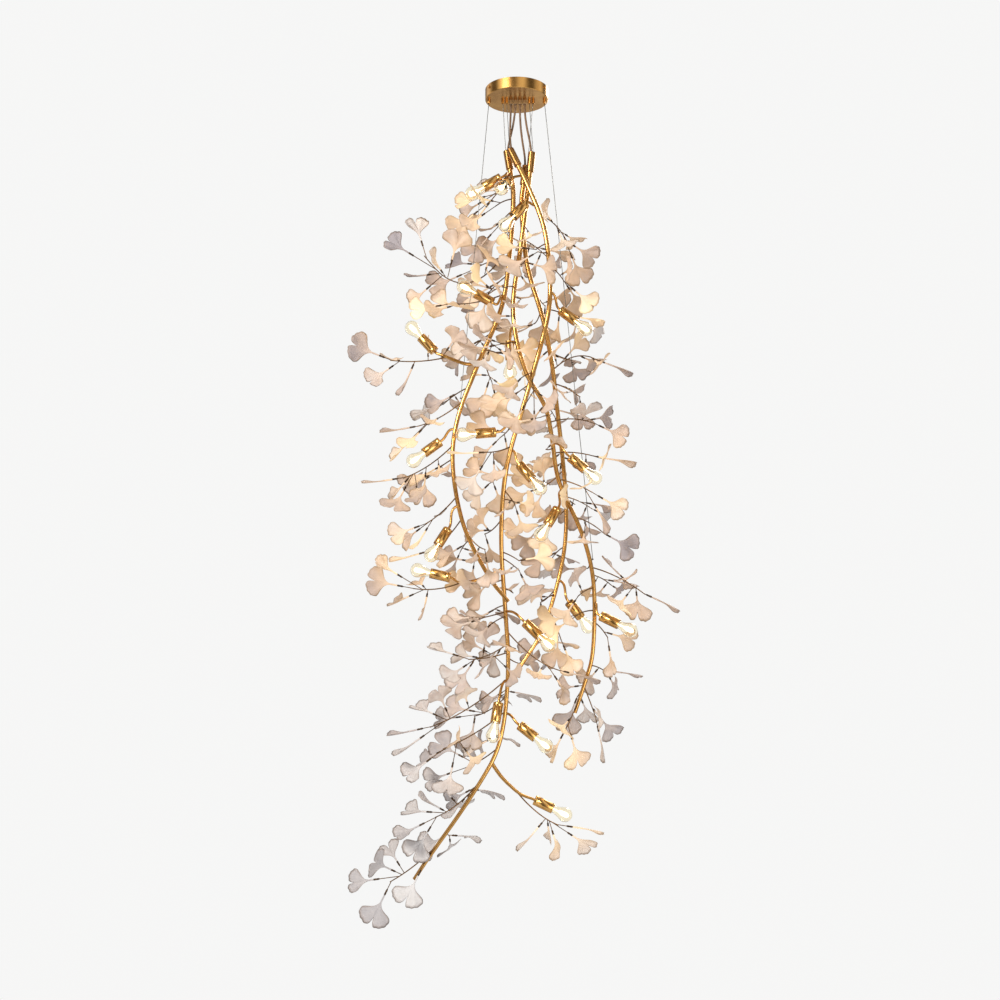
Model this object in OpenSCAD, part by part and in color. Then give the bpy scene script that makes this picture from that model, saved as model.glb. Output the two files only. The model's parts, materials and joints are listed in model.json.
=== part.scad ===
// Hanging cluster chandelier: four winding brass stems under a round canopy,
// with sprays of thin wire that carry porcelain fan leaves, and small lamps among them.
// The origin is the middle of the ceiling face. +Z is up, -Y is the side seen from the room.

/* [Canopy] */
// Diameter of the canopy
canopy_d = 150; // [140:1:200]
// Height of the canopy below the ceiling
canopy_h = 25; // [22:1:40]
// Wall of the canopy cup
canopy_wall = 2; // [1.5:0.1:3]
// Thickness of the ceiling plate
plate_t = 3; // [2:0.5:4]
// Distance between the two ceiling screws
fixing_pitch = 96; // [80:1:110]
// Diameter of the holes for the ceiling screws
fixing_hole_d = 5.5; // [4:0.5:6.5]
// Diameter of the mains inlet in the ceiling plate
inlet_d = 16; // [10:1:20]
// Diameter of the side screws that hold the cup
side_screw_d = 3.2; // [2.5:0.1:4]

/* [Suspension] */
// Diameter of the steel suspension cables
cable_d = 1.5; // [1:0.1:2]
// Diameter of the ball stop at each end of a cable
ball_d = 4.4; // [4:0.1:5]
// Diameter of the electric flexes
flex_d = 5; // [4.5:0.1:5.2]
// Diameter of the ferrule on the top of each stem
ferrule_d = 18; // [17:0.5:18]
// Length of the ferrule
ferrule_h = 47; // [42:1:50]

/* [Stems] */
// Diameter of a stem at its top
stem_d = 12; // [10:0.5:13]
// Diameter of a stem at its lower end
stem_tip_d = 9; // [7:0.5:10]
// Diameter of the wire of a spray
twig_d = 3; // [2.4:0.1:3.4]
// Diameter of the short wire to a leaf
leaf_wire_d = 2.2; // [1.8:0.1:2.4]

/* [Leaves] */
// Radius of the fan of a full-size leaf
fan_r = 52; // [46:1:54]
// Thickness of the porcelain
leaf_t = 2.2; // [1.8:0.1:2.6]
// Length of the porcelain neck of a full-size leaf
neck_len = 28; // [26:1:30]
// Diameter of the neck where it enters the sleeve
neck_d = 5.2; // [4.6:0.1:5.4]
// Diameter of the neck where it meets the blade
neck_end_d = 3.8; // [3.4:0.1:4.4]
// Length of the sleeve that holds a leaf on its wire
sleeve_len = 14; // [13:1:15]

/* [Lamps] */
// Outer diameter of a lampholder cup
cup_d = 23.5; // [22.6:0.1:24]
// Length of a lampholder cup
cup_h = 47; // [44:1:50]
// Widest diameter of a bulb
bulb_d = 34; // [30:1:36]
// Length of the glass that stands out of the cup
bulb_h = 47; // [44:1:49]
// Diameter of a long curved lamp arm where it leaves its stem
long_arm_d = 9; // [8:0.5:9]
// Diameter of a short lamp arm
arm_d = 6; // [5:0.5:7]

/* [Hidden] */
round_fn = 48;
wire_fn = 16;
stem_sides = 10;
arm_sides = 8;
slip = 0.3;

// Points of the four stems, from the ferrule down
stem_a_points = [
    [1, -12, -183], [24, -22, -236], [64, -34, -345], [78, -38, -474], [68, -38, -578],
    [20, -40, -753], [-24, -30, -914], [-36, -12, -1074], [-27, 6, -1237], [-20, -10, -1378],
    [-38, -28, -1542], [-97, -28, -1658], [-203, -8, -1812], [-236, 0, -1862]
];
stem_b_points = [
    [-17, 14, -182], [-8, 8, -260], [-18, 0, -408], [-36, -8, -528], [-88, -14, -658],
    [-137, -18, -790], [-149, -22, -905], [-123, -28, -1046], [-64, -32, -1165], [-19, -34, -1223]
];
stem_c_points = [
    [32, 0, -193], [25, 4, -256], [8, 10, -388], [-8, 10, -506], [-1, 6, -599], [25, 4, -687],
    [67, 0, -763], [83, 0, -838], [100, 4, -941], [154, -6, -1067], [179, -12, -1182],
    [177, -12, -1334], [158, -8, -1411], [135, 0, -1480]
];
stem_d_points = [
    [17, 26, -215], [12, 28, -275], [25, 30, -415], [63, 28, -548], [84, 34, -653], [94, 42, -737],
    [111, 50, -893], [118, 48, -1020], [106, 42, -1137], [63, 30, -1283], [8, 20, -1374]
];
stem_points = [stem_a_points, stem_b_points, stem_c_points, stem_d_points];
stem_names = ["a", "b", "c", "d"];
stem_steps = 3;

// Routes of the four flexes, from the gland to the ferrule
flex_points = [
    [[-14, 0, -26.6], [-14, 0, -36], [-14.5, 0, -60], [-15.5, 0, -90], [-15.5, -1, -118],
     [-14.5, -2.6, -132], [-12.7, -3.9, -143.6], [-9.1, -5.6, -151.7]],
    [[-3, 0, -26.6], [-3, 0, -36], [-5, 2, -60], [-10, 7, -90], [-17, 13, -118],
     [-21, 17.5, -139], [-19.5, 16.7, -148.8]],
    [[19, 0, -26.6], [19, 0, -36], [20, 0, -60], [24, -1, -90], [30, -2.5, -120],
     [33, -3, -138], [34.2, -2.9, -149.8], [33.1, -2.2, -159.7]],
    [[8, 0, -26.6], [8, 0, -36], [8, 3, -60], [10, 9, -90], [14, 17, -120],
     [19, 23.5, -150], [20.1, 24.3, -171.8], [18.8, 24.7, -181.7]]
];
flex_sides = 8;
flex_steps = 2;

// Where each flex and cable leaves the canopy, along X, and the side of its ball in the ferrule
gland_x = [-14, -3, 19, 8];
inner_cable_x = [-24, -33, 30, 39];
ball_side = [-1, -1, 1, 1];
ball_offset = 3.6;
outer_cable_x = [-66, 66];
outer_cable_stem = [1, 2];
outer_cable_z = [-748, -1125];

// Long curved arms: stem, height of the root, points between the root and the cup, lamp
long_arms = [
    [1, -655, [[-116, -30, -668], [-166, -30, -650]], 4],
    [0, -1146, [[-64, 4, -1160], [-100, -6, -1174], [-132, -20, -1177]], 13],
    [0, -1592, [[-37, -32, -1622], [-13, -35, -1646], [10, -36, -1664]], 19]
];

// Lamps: stem, height of the root, middle of the cup, direction of the bulb
lamps = [
    [1, -200, [-58, -30, -236], [-0.87, 0, -0.49]],
    [0, -215, [-22, -62, -246], [-0.25, -0.8, -0.55]],
    [0, -290, [6, -52, -310], [-0.6, -0.3, -0.74]],
    [1, -500, [-76, -40, -514], [-0.87, -0.2, 0.44]],
    [-1, 0, [-208, -26, -620], [-0.69, 0, 0.72]],
    [0, -500, [121, -30, -554], [0.75, -0.2, -0.63]],
    [2, -560, [-16, 60, -615], [0, 0.2, -0.98]],
    [0, -800, [-72, -48, -833], [-0.95, -0.15, -0.1]],
    [1, -820, [-197, -30, -864], [-0.8, -0.1, -0.6]],
    [0, -870, [21, -60, -925], [0.6, -0.3, -0.74]],
    [2, -960, [83, -34, -1026], [-0.5, -0.3, -0.8]],
    [2, -850, [142, -30, -901], [0.75, -0.1, -0.65]],
    [1, -1000, [-170, -46, -1075], [-0.5, -0.42, -0.84]],
    [-1, 1, [-177, -30, -1162], [-0.97, 0, 0.22]],
    [3, -1170, [137, 25, -1240], [0.6, 0.3, -0.74]],
    [2, -1225, [214, -44, -1266], [0.85, -0.3, -0.43]],
    [0, -1245, [36, -44, -1287], [0.7, -0.2, -0.68]],
    [0, -1405, [-45, -62, -1477], [-0.15, -0.3, -0.94]],
    [0, -1480, [25, -50, -1520], [0.78, -0.2, -0.6]],
    [-1, 2, [62, -40, -1686], [0.9, -0.1, -0.42]]
];

// Leaf kinds: full two-lobed fan, cupped fan and narrow rolled leaf
leaf_size = [1, 0.86, 1];
leaf_spread = [1, 0.94, 0.36];
leaf_cleft = [0.36, 0.28, -0.04];
leaf_bend_r = [66, 46, 21];
// One edge of a fan from the neck to the cleft, as angle from the middle and share of the radius
fan_edge = [[42, 0.4], [60, 0.84], [48, 0.97], [26, 1], [7, 0.94]];

// Sprays of each zone: host, height of the root on a stem or share of a long arm, tip of
// the wire, rise of its middle, and its leaves as [x, y, z of the blade, turn, kind],
// the last one on the tip. Hosts 0 to 3 are the stems and 4 to 6 the long arms.
upper_left = [
    [1, -222, [-62, 20, -262], 6, [
        [-128, 30, -262, 30, 1], [-104, 62, -300, 60, 0], [-140, 10, -330, 0, 0]]],
    [1, -290, [-48, 42, -322], 4, [[-62, 108, -300, 40, 1], [-104, 52, -380, 10, 0]]],
    [1, -375, [-217, -34, -412], -78, [
        [-62, -82, -424, -15, 0], [-138, -64, -382, 10, 0], [-192, -86, -436, 50, 1],
        [-243, 24, -500, 30, 1], [-246, 40, -440, 80, 2], [-288, -36, -384, 20, 1],
        [-236, -15, -335, 20, 1]]],
    [1, -495, [-158, -34, -526], -8, [
        [-132, -92, -552, 10, 0], [-182, 26, -512, 10, 0], [-190, -84, -556, 20, 1],
        [-230, -30, -538, 10, 1]]],
    [4, 0.55, [-297, -12, -655], -6, [
        [-137, -84, -612, 10, 1], [-212, 40, -606, 80, 2], [-262, -40, -722, 60, 2],
        [-298, 44, -640, 60, 1], [-330, -34, -702, 20, 1], [-368, -20, -627, 0, 0]]]
];
upper_right = [
    [0, -318, [120, -32, -380], 14, [
        [64, -90, -326, 20, 1], [140, 40, -352, 70, 1], [112, -74, -402, 0, 0],
        [150, 50, -432, 20, 0], [172, -8, -404, 20, 1]]],
    [0, -436, [112, -22, -470], 4, [
        [122, -92, -462, 10, 1], [150, 40, -505, 30, 0], [168, -24, -520, 10, 1]]],
    [2, -330, [24, -42, -352], 2, [[34, -104, -392, 10, 0]]],
    [2, -432, [6, -36, -454], 2, [[30, -92, -506, -10, 0]]]
];
middle_left = [
    [1, -752, [-234, 8, -808], -8, [
        [-196, -70, -812, 10, 1], [-250, -44, -856, 30, 1], [-286, 34, -870, 60, 1],
        [-300, 12, -819, 70, 2]]],
    [1, -857, [-268, 14, -930], -10, [
        [-176, -88, -930, 10, 1], [-222, 44, -966, 10, 0], [-224, -92, -986, 20, 1],
        [-280, -48, -1002, 10, 0], [-290, 34, -966, 60, 1], [-337, -15, -944, 80, 2]]],
    [1, -978, [-214, -16, -1042], -6, [
        [-178, 50, -1010, 80, 2], [-224, -90, -1092, 60, 2], [-262, 50, -1070, 10, 1],
        [-276, -30, -1066, 10, 1]]],
    [1, -1030, [-196, 20, -1100], -6, [[-276, 16, -1122, 70, 2]]],
    [5, 0.62, [-240, -14, -1192], -8, [
        [-212, -70, -1246, 80, 2], [-232, 60, -1172, 10, 1], [-282, 40, -1220, 70, 1],
        [-309, -50, -1140, 60, 1], [-325, -20, -1176, 10, 0]]]
];
centre = [
    [0, -700, [40, -66, -752], 4, [
        [78, -120, -776, 20, 1], [-10, -104, -826, 0, 0], [40, -132, -832, 10, 1]]],
    [1, -600, [-58, -52, -632], 2, [[-16, -108, -668, 60, 1], [-80, -110, -690, 0, 0]]],
    [0, -862, [-72, -62, -880], -4, [
        [-50, -116, -942, 10, 1], [-108, -92, -962, 0, 0], [-126, -70, -884, 85, 2]]],
    [1, -1060, [-72, -56, -1104], -8, [[-96, -110, -1130, 30, 2], [-62, -84, -1172, 20, 1]]],
    [0, -962, [-4, -56, -1000], 2, [[-30, -112, -1022, 70, 2], [14, -104, -1064, 0, 0]]],
    [0, -1120, [6, -54, -1152], 2, [[-24, -112, -1160, 40, 1], [30, -98, -1206, 0, 0]]]
];
middle_right = [
    [3, -668, [196, 16, -650], 22, [
        [84, -56, -640, 10, 0], [150, 44, -598, 40, 1], [188, 74, -640, 60, 1],
        [196, -50, -676, 20, 0], [250, 20, -669, 80, 2]]],
    [3, -700, [150, 8, -738], 4, [[98, -68, -744, 10, 0], [158, 46, -790, 10, 1]]],
    [2, -800, [186, -14, -806], 10, [
        [160, -84, -790, 10, 0], [214, 40, -780, 30, 1], [240, -24, -834, 20, 1]]],
    [2, -872, [196, 26, -880], 6, [
        [168, 92, -900, 60, 1], [206, -86, -898, 10, 0], [258, 30, -888, 70, 2]]],
    [2, -934, [176, -22, -968], 4, [
        [150, -84, -964, 20, 1], [204, -70, -1046, 60, 2], [236, -26, -1004, 20, 1]]],
    [2, -1024, [206, 10, -1062], 6, [
        [172, 66, -1052, 20, 1], [150, -88, -1094, 10, 0], [262, 0, -1094, 10, 0]]]
];
lower_right = [
    [2, -1142, [300, -10, -1206], 8, [
        [218, 40, -1132, 80, 2], [250, -76, -1172, 20, 1], [230, -86, -1236, 0, 0],
        [288, 50, -1236, 30, 0], [358, -10, -1232, 85, 2]]],
    [2, -1270, [214, 22, -1306], 4, [[262, 28, -1308, 10, 1], [222, 0, -1376, 60, 1]]],
    [2, -1190, [140, -54, -1212], 4, [[132, -106, -1166, 20, 1], [106, -96, -1262, 0, 0]]],
    [3, -1240, [104, 6, -1312], 2, [[96, 60, -1352, 10, 0], [128, -14, -1372, 10, 1]]],
    [0, -1290, [100, -34, -1382], -14, [
        [48, -100, -1392, 10, 1], [112, -72, -1432, 60, 1], [168, -34, -1398, 70, 2]]],
    [2, -1438, [118, -14, -1512], 2, [
        [98, -76, -1516, 10, 0], [86, 26, -1574, 60, 1], [140, -40, -1584, 20, 0]]],
    [2, -1418, [184, 4, -1492], 2, [
        [190, -60, -1486, 60, 1], [222, 44, -1524, 10, 1], [200, -12, -1570, 80, 2]]]
];
lower_left = [
    [0, -1340, [-112, -34, -1356], -4, [
        [-20, -84, -1322, 0, 0], [-4, -98, -1392, 10, 1], [-68, -102, -1372, 0, 0], [-150, -80, -1392, 30, 1],
        [-186, -20, -1332, 70, 1]]],
    [0, -1400, [-200, -28, -1512], -12, [
        [-118, -86, -1432, 20, 1], [-176, -70, -1434, 10, 1],
        [-226, 22, -1470, 60, 1], [-256, -80, -1560, 70, 2], [-276, -20, -1528, 80, 2]]],
    [0, -1476, [-168, -44, -1560], -8, [
        [-134, -104, -1534, 60, 1], [-92, -108, -1588, 0, 0], [-154, -92, -1642, 10, 0],
        [-214, 18, -1590, 60, 1], [-238, -62, -1612, 30, 1]]],
    [0, -1628, [-186, -36, -1716], -12, [
        [-146, -96, -1700, 60, 2], [-176, 20, -1652, 80, 2], [-206, -80, -1672, 70, 2],
        [-244, 2, -1706, 60, 1], [-256, -70, -1748, 60, 1], [-228, -30, -1790, 10, 0]]],
    [0, -1782, [-290, -24, -1864], -6, [
        [-296, 34, -1800, 10, 1], [-318, -72, -1812, 10, 0], [-368, 0, -1868, 30, 1],
        [-323, -30, -1936, 0, 0]]],
    [0, -1800, [-212, -32, -1822], 2, [[-246, -46, -1890, 10, 0]]],
    [6, 0.55, [96, -20, -1736], -10, [
        [18, -34, -1776, 85, 2], [76, 40, -1768, 60, 2], [92, -84, -1780, 60, 1],
        [160, 10, -1784, 30, 1], [176, -28, -1746, 80, 2]]]
];

// Sprays on the far side by rule: stem, height, heading, length, rise, leaves
rear_rows = [
    [1, -322, 98, 110, -6, 3], [3, -354, 60, 110, -10, 4], [1, -450, 116, 120, -20, 4],
    [0, -540, 48, 130, -10, 4], [1, -590, 118, 110, -20, 4], [3, -600, 84, 110, -20, 3],
    [1, -720, 126, 110, -24, 4], [2, -745, 74, 130, -20, 4], [1, -890, 116, 130, -24, 4],
    [3, -850, 88, 110, -20, 3], [3, -970, 52, 110, -20, 4], [1, -1080, 104, 110, -20, 3],
    [3, -1090, 104, 110, -20, 3], [2, -1160, 62, 110, -20, 4], [0, -1230, 112, 120, -20, 4],
    [3, -1300, 76, 100, -20, 3], [0, -1424, 92, 120, -20, 4], [2, -1370, 60, 90, -20, 3],
    [0, -1530, 106, 110, -20, 4], [0, -1650, 100, 100, -20, 3], [0, -1760, 84, 80, -14, 3]
];

zone_names = [
    "upper_left", "upper_right", "middle_left", "centre", "middle_right", "lower_right",
    "lower_left", "rear"
];
stalk_groups = [[0, 1], [2, 3, 4], [5, 6], [7]];
stalk_names = ["upper", "middle", "lower", "rear"];
twig_segments = 5;
twig_sides = 6;

function bulb_name(i) = str("bulb_", i < 9 ? "0" : "", i + 1);

// Vectors and paths
function unit(v) = v / norm(v);
function mix(a, b, t) = a + (b - a) * t;
function first_min(v) = let (m = min(v)) [for (i = [0 : len(v) - 1]) if (v[i] == m) i][0];

function spline_at(p, i, t) =
    let (n = len(p),
         a = i > 0 ? p[i - 1] : 2 * p[0] - p[1],
         b = p[i],
         c = p[i + 1],
         d = i + 2 < n ? p[i + 2] : 2 * p[n - 1] - p[n - 2])
    0.5 * (2 * b + (c - a) * t + (2 * a - 5 * b + 4 * c - d) * t * t
        + (3 * b - a - 3 * c + d) * t * t * t);

function spline(p, steps) = concat(
    [for (i = [0 : len(p) - 2]) for (j = [0 : steps - 1]) spline_at(p, i, j / steps)],
    [p[len(p) - 1]]
);

function tangent(p, i) = unit(p[min(i + 1, len(p) - 1)] - p[max(i - 1, 0)]);

function across(d) =
    let (f = abs(d[0]) < 0.8 ? [1, 0, 0] : [0, 0, 1])
    unit(f - d * (f * d));

// Side vectors of the rings of a tube, each turned as little as possible from the last
function ring_sides(p, i = 0, last = undef) =
    i == len(p) ? [] :
    let (t = tangent(p, i),
         s = i == 0 ? across(t) : unit(last - t * (last * t)))
    concat([s], ring_sides(p, i + 1, s));

// Point and direction of a path where it passes a height
function step_at(p, z) = [for (i = [0 : len(p) - 2]) if (p[i][2] >= z && p[i + 1][2] < z) i][0];
function at_height(p, z) =
    let (i = step_at(p, z))
    mix(p[i], p[i + 1], (p[i][2] - z) / (p[i][2] - p[i + 1][2]));
function heading_at(p, z) = let (i = step_at(p, z)) unit(p[i + 1] - p[i]);
function at_share(p, u) =
    let (x = u * (len(p) - 1), i = min(floor(x), len(p) - 2))
    mix(p[i], p[i + 1], x - i);

stem_paths = [for (p = stem_points) spline(p, stem_steps)];

function stem_r(h, z) =
    let (p = stem_paths[h], n = len(p) - 1)
    mix(stem_d, stem_tip_d, step_at(p, z) / n) / 2;

// Lamps: a cup's mouth and the two ends of its arm
function lamp_heading(i) = unit(lamps[i][3]);
function cup_mouth(i) = lamps[i][2] + lamp_heading(i) * cup_h / 2;
function arm_end(i) = lamps[i][2] - lamp_heading(i) * (cup_h / 2 - arm_seat);
arm_seat = 4;
arm_straight = 9;
arm_segments = 4;

function short_arm(i) =
    let (l = lamps[i],
         a = at_height(stem_paths[l[0]], l[1]),
         e = arm_end(i),
         reach = norm(e - a),
         out = unit(e - a - heading_at(stem_paths[l[0]], l[1])
             * ((e - a) * heading_at(stem_paths[l[0]], l[1]))),
         f = e - lamp_heading(i) * arm_straight,
         b = a + out * reach * 0.4,
         c = f - lamp_heading(i) * reach * 0.3)
    concat([for (k = [0 : arm_segments]) let (t = k / arm_segments, s = 1 - t)
        a * s * s * s + b * 3 * s * s * t + c * 3 * s * t * t + f * t * t * t], [e]);

function long_arm(k) =
    let (row = long_arms[k], i = row[3], e = arm_end(i))
    concat(spline(concat([at_height(stem_paths[row[0]], row[1])], row[2],
        [e - lamp_heading(i) * arm_straight]), 2), [e]);

long_arm_paths = [for (k = [0 : len(long_arms) - 1]) long_arm(k)];

// Sprays: the path of the wire, then each leaf as [start, heading, wire, turn, kind]
function root_of(row) =
    row[0] < 4 ? at_height(stem_paths[row[0]], row[1]) : at_share(long_arm_paths[row[0] - 4], row[1]);

function spray_path(row) =
    let (a = root_of(row), b = row[2], m = (a + b) / 2 + [0, 0, 2 * row[3]])
    [for (i = [0 : twig_segments]) let (t = i / twig_segments, s = 1 - t)
        a * s * s + m * 2 * s * t + b * t * t];

wire_seat = 5.5;
neck_seat = 6;
wire_min = 9;
wire_best = 18;
neck_from_wire = wire_seat * -1 + sleeve_len - neck_seat + slip;
function blade_reach(kind) = neck_from_wire + leaf_size[kind] * (neck_len + fan_r / 2);

// Share of the wire where leaf k of n starts: the nearest to the wanted length, and no two alike
function share_for(path, target, kind, k, n) =
    let (want = blade_reach(kind) + wire_best,
         shares = [for (j = [1 : twig_segments - 1]) (j - 0.5 + k / n) / twig_segments])
    shares[first_min([for (u = shares) abs(norm(target - at_share(path, u)) - want)])];

function leaf_rows(row) =
    let (path = spray_path(row), n = len(row[4]))
    [for (k = [0 : n - 1])
        let (l = row[4][k],
             target = [l[0], l[1], l[2]],
             a = at_share(path, k == n - 1 ? 0.97 : share_for(path, target, l[4], k, n)),
             d = unit(target - a))
        [a, d, max(wire_min, norm(target - a) - blade_reach(l[4])), l[3], l[4]]];

rear_kinds = [0, 1, 0, 2, 1];
rear_turn = 55;
function rear_spray(j) =
    let (r = rear_rows[j],
         a = at_height(stem_paths[r[0]], r[1]),
         out = [cos(r[2]), sin(r[2]), 0],
         side = [-sin(r[2]), cos(r[2]), 0],
         tip = a + out * r[3] + [0, 0, r[4]])
    [r[0], r[1], tip, 4,
        [for (k = [0 : r[5] - 1])
            let (last = k == r[5] - 1,
                 s = last ? 0.1 : (k % 2 == 0 ? 1 : -1),
                 kind = rear_kinds[(j + k) % 5],
                 from = mix(a, tip, last ? 1 : (k + 1.5) / (r[5] + 0.5)),
                 d = unit(out * 0.7 + side * s * 0.75 + [0, 0, k % 2 == 0 ? -0.45 : -0.1]),
                 p = from + d * (blade_reach(kind) + wire_best))
            [p[0], p[1], p[2], rear_turn * k + 30, kind]]];

rear = [for (j = [0 : len(rear_rows) - 1]) rear_spray(j)];
zones = [
    upper_left, upper_right, middle_left, centre, middle_right, lower_right, lower_left, rear
];

// Placing
module along(p, d) {
    translate(p)
        rotate([0, acos(d[2]), atan2(d[1], d[0])])
            children();
}

module rod(a, b, d) {
    along(a, unit(b - a)) cylinder(h = norm(b - a), d = d, $fn = wire_fn);
}

// A child's +Z goes along d, and its +X turns from the room side
function room_side(d) =
    let (f = [0, -1, 0], n = f - d * (f * d))
    norm(n) > 0.2 ? unit(n) : unit([0, 0, 1] - d * d[2]);

module facing(p, d, turn) {
    x = room_side(d);
    y = cross(d, x);
    multmatrix([
        [x[0], y[0], d[0], p[0]],
        [x[1], y[1], d[1], p[1]],
        [x[2], y[2], d[2], p[2]],
        [0, 0, 0, 1]
    ])
        rotate([0, 0, turn])
            children();
}

// A tube that tapers along a path, as one closed skin
module tube(path, d1, d2, n) {
    last = len(path) - 1;
    s = ring_sides(path);
    points = [for (i = [0 : last]) let (t = tangent(path, i), r = mix(d1, d2, i / last) / 2)
        for (k = [0 : n - 1]) path[i] + r * (cos(360 * k / n) * s[i]
            + sin(360 * k / n) * cross(t, s[i]))];
    walls = [for (i = [0 : last - 1]) for (k = [0 : n - 1])
        let (a = i * n + k, b = i * n + (k + 1) % n)
        each [[a, a + n, b + n], [a, b + n, b]]];
    ends = [[for (k = [0 : n - 1]) k], [for (k = [n - 1 : -1 : 0]) last * n + k]];
    polyhedron(points = points, faces = concat(walls, ends), convexity = 8);
}

// Canopy
cup_r = canopy_d / 2;
plate_r = cup_r - canopy_wall - slip - 0.2;
lug_w = 12;
lug_h = 11;
lug_depth = 10;
screw_z = -plate_t - lug_h / 2;
screw_angles = [90, 210, 330];
nipple_h = 8;
nipple_r = ball_d / 2 + 1.55;
ball_room = ball_d / 2 + 0.5;
throat_r = cable_d / 2 + 0.55;
seat_top = 2.2;
seat_drop = seat_top + ball_room - throat_r;
// The seat is a 45 degree cone, and the ball rests a tenth of a millimetre clear of it
ball_drop = seat_drop - (ball_d / 2 + 0.1) * sqrt(2) + throat_r;
hinge_z = -canopy_h - ball_drop;
gland_r = flex_d / 2 + 2.4;
gland_h = 10;
flex_room = flex_d / 2 + 0.4;
all_cable_x = concat(inner_cable_x, outer_cable_x);

module ceiling_plate() {
    color("silver") difference() {
        union() {
            translate([0, 0, -plate_t]) cylinder(h = plate_t, r = plate_r, $fn = round_fn);
            for (a = screw_angles)
                rotate([0, 0, a])
                    translate([plate_r - lug_depth - 1, -lug_w / 2, -plate_t - lug_h])
                        cube([lug_depth, lug_w, lug_h + 1]);
        }
        for (s = [-1, 1])
            translate([s * fixing_pitch / 2, 0, -plate_t - 1])
                cylinder(h = plate_t + 2, d = fixing_hole_d, $fn = round_fn);
        translate([0, inlet_y, -plate_t - 1]) cylinder(h = plate_t + 2, d = inlet_d, $fn = round_fn);
        for (a = screw_angles)
            rotate([0, 0, a])
                translate([plate_r - lug_depth - 2, 0, screw_z])
                    rotate([0, 90, 0])
                        cylinder(h = lug_depth + 4, d = side_screw_d + 2 * 0.15, $fn = 24);
    }
}
inlet_y = 32;

module canopy_cup() {
    edge = 1;
    color("goldenrod") difference() {
        rotate_extrude($fn = 96)
            polygon([
                [0, -canopy_h], [cup_r - edge, -canopy_h], [cup_r, -canopy_h + edge], [cup_r, 0],
                [cup_r - canopy_wall, 0], [cup_r - canopy_wall, -canopy_h + canopy_wall],
                [0, -canopy_h + canopy_wall]
            ]);
        for (x = all_cable_x)
            translate([x, 0, -canopy_h - 1])
                cylinder(h = canopy_wall + 2, r = ball_room, $fn = 24);
        for (x = gland_x)
            translate([x, 0, -canopy_h - 1])
                cylinder(h = canopy_wall + 2, r = flex_room, $fn = 24);
        for (a = screw_angles)
            rotate([0, 0, a])
                translate([cup_r - canopy_wall - 1, 0, screw_z])
                    rotate([0, 90, 0])
                        cylinder(h = canopy_wall + 2, d = side_screw_d + 2 * slip, $fn = 24);
    }
}

module canopy_screws() {
    head_h = 2.2;
    color("goldenrod")
        for (a = screw_angles)
            rotate([0, 0, a])
                translate([cup_r + 0.1, 0, screw_z])
                    rotate([0, -90, 0]) {
                        translate([0, 0, -head_h]) cylinder(h = head_h, d = side_screw_d * 2, $fn = 24);
                        cylinder(h = canopy_wall + lug_depth, d = side_screw_d, $fn = 24);
                    }
}

module terminal_block() {
    block = [46, 17, 13];
    color("ivory")
        translate([0, -30, -plate_t - block[2]])
            difference() {
                translate([-block[0] / 2, -block[1] / 2, 0]) cube(block);
                for (i = [-1 : 1])
                    translate([i * 14, -block[1] / 2 - 1, 4])
                        rotate([-90, 0, 0])
                            cylinder(h = block[1] + 2, d = 4.5, $fn = 24);
            }
}

module cable_nipples() {
    color("goldenrod")
        for (x = all_cable_x)
            translate([x, 0, -canopy_h])
                rotate_extrude($fn = round_fn)
                    polygon([
                        [ball_room, 0], [nipple_r, 0], [nipple_r, -nipple_h + 0.6],
                        [nipple_r - 0.3, -nipple_h], [nipple_r - 0.8, -nipple_h],
                        [throat_r, -seat_drop], [ball_room, -seat_top]
                    ]);
}

module flex_glands() {
    color("dimgray")
        for (x = gland_x)
            translate([x, 0, -canopy_h])
                rotate_extrude($fn = round_fn)
                    polygon([
                        [flex_room, 0], [gland_r, 0], [gland_r, -gland_h + 2],
                        [gland_r - 0.8, -gland_h], [gland_r - 1.4, -gland_h],
                        [flex_room, -ball_drop - 2]
                    ]);
}

// Suspension and ferrules
ferrule_grip = 6;
ferrule_well = 8;
well_r = ferrule_d / 2 - 2.2;
function ferrule_heading(i) = unit(stem_paths[i][1] - stem_paths[i][0]);
function well_floor(i) = stem_points[i][0] - ferrule_heading(i) * (ferrule_h - ferrule_grip - ferrule_well);
function inner_ball(i) =
    well_floor(i) + ball_side[i] * ball_offset * across(ferrule_heading(i))
    - ferrule_heading(i) * (ball_d / 2 + 0.2);
function outer_ball(j) =
    let (h = outer_cable_stem[j], z = outer_cable_z[j], t = heading_at(stem_paths[h], z),
         s = unit([outer_cable_x[j] < 0 ? -1 : 1, 0, 0] - t * t[0] * (outer_cable_x[j] < 0 ? -1 : 1)))
    at_height(stem_paths[h], z) + s * (stem_r(h, z) + ball_d / 2 + 0.25);

module cable(a, b) {
    rod(a, b, cable_d);
    translate(a) sphere(d = ball_d, $fn = round_fn);
    translate(b) sphere(d = ball_d, $fn = round_fn);
}

module suspension_cables() {
    color("gray") {
        for (i = [0 : 3]) cable([inner_cable_x[i], 0, hinge_z], inner_ball(i));
        for (j = [0 : 1]) cable([outer_cable_x[j], 0, hinge_z], outer_ball(j));
    }
}

module flexes() {
    color("black")
        for (p = flex_points) tube(spline(p, flex_steps), flex_d, flex_d, flex_sides);
}

module top_ferrules() {
    edge = 0.8;
    r = ferrule_d / 2;
    grip_r = stem_d / 2 + slip;
    color("peru")
        for (i = [0 : 3])
            along(stem_points[i][0] + ferrule_heading(i) * ferrule_grip, -ferrule_heading(i))
                rotate_extrude($fn = round_fn)
                    polygon([
                        [grip_r, 0], [r - edge, 0], [r, edge], [r, ferrule_h - edge],
                        [r - edge, ferrule_h], [well_r, ferrule_h],
                        [well_r, ferrule_h - ferrule_well], [0, ferrule_h - ferrule_well],
                        [0, ferrule_grip + 0.2], [grip_r, ferrule_grip + 0.2]
                    ]);
}

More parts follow.
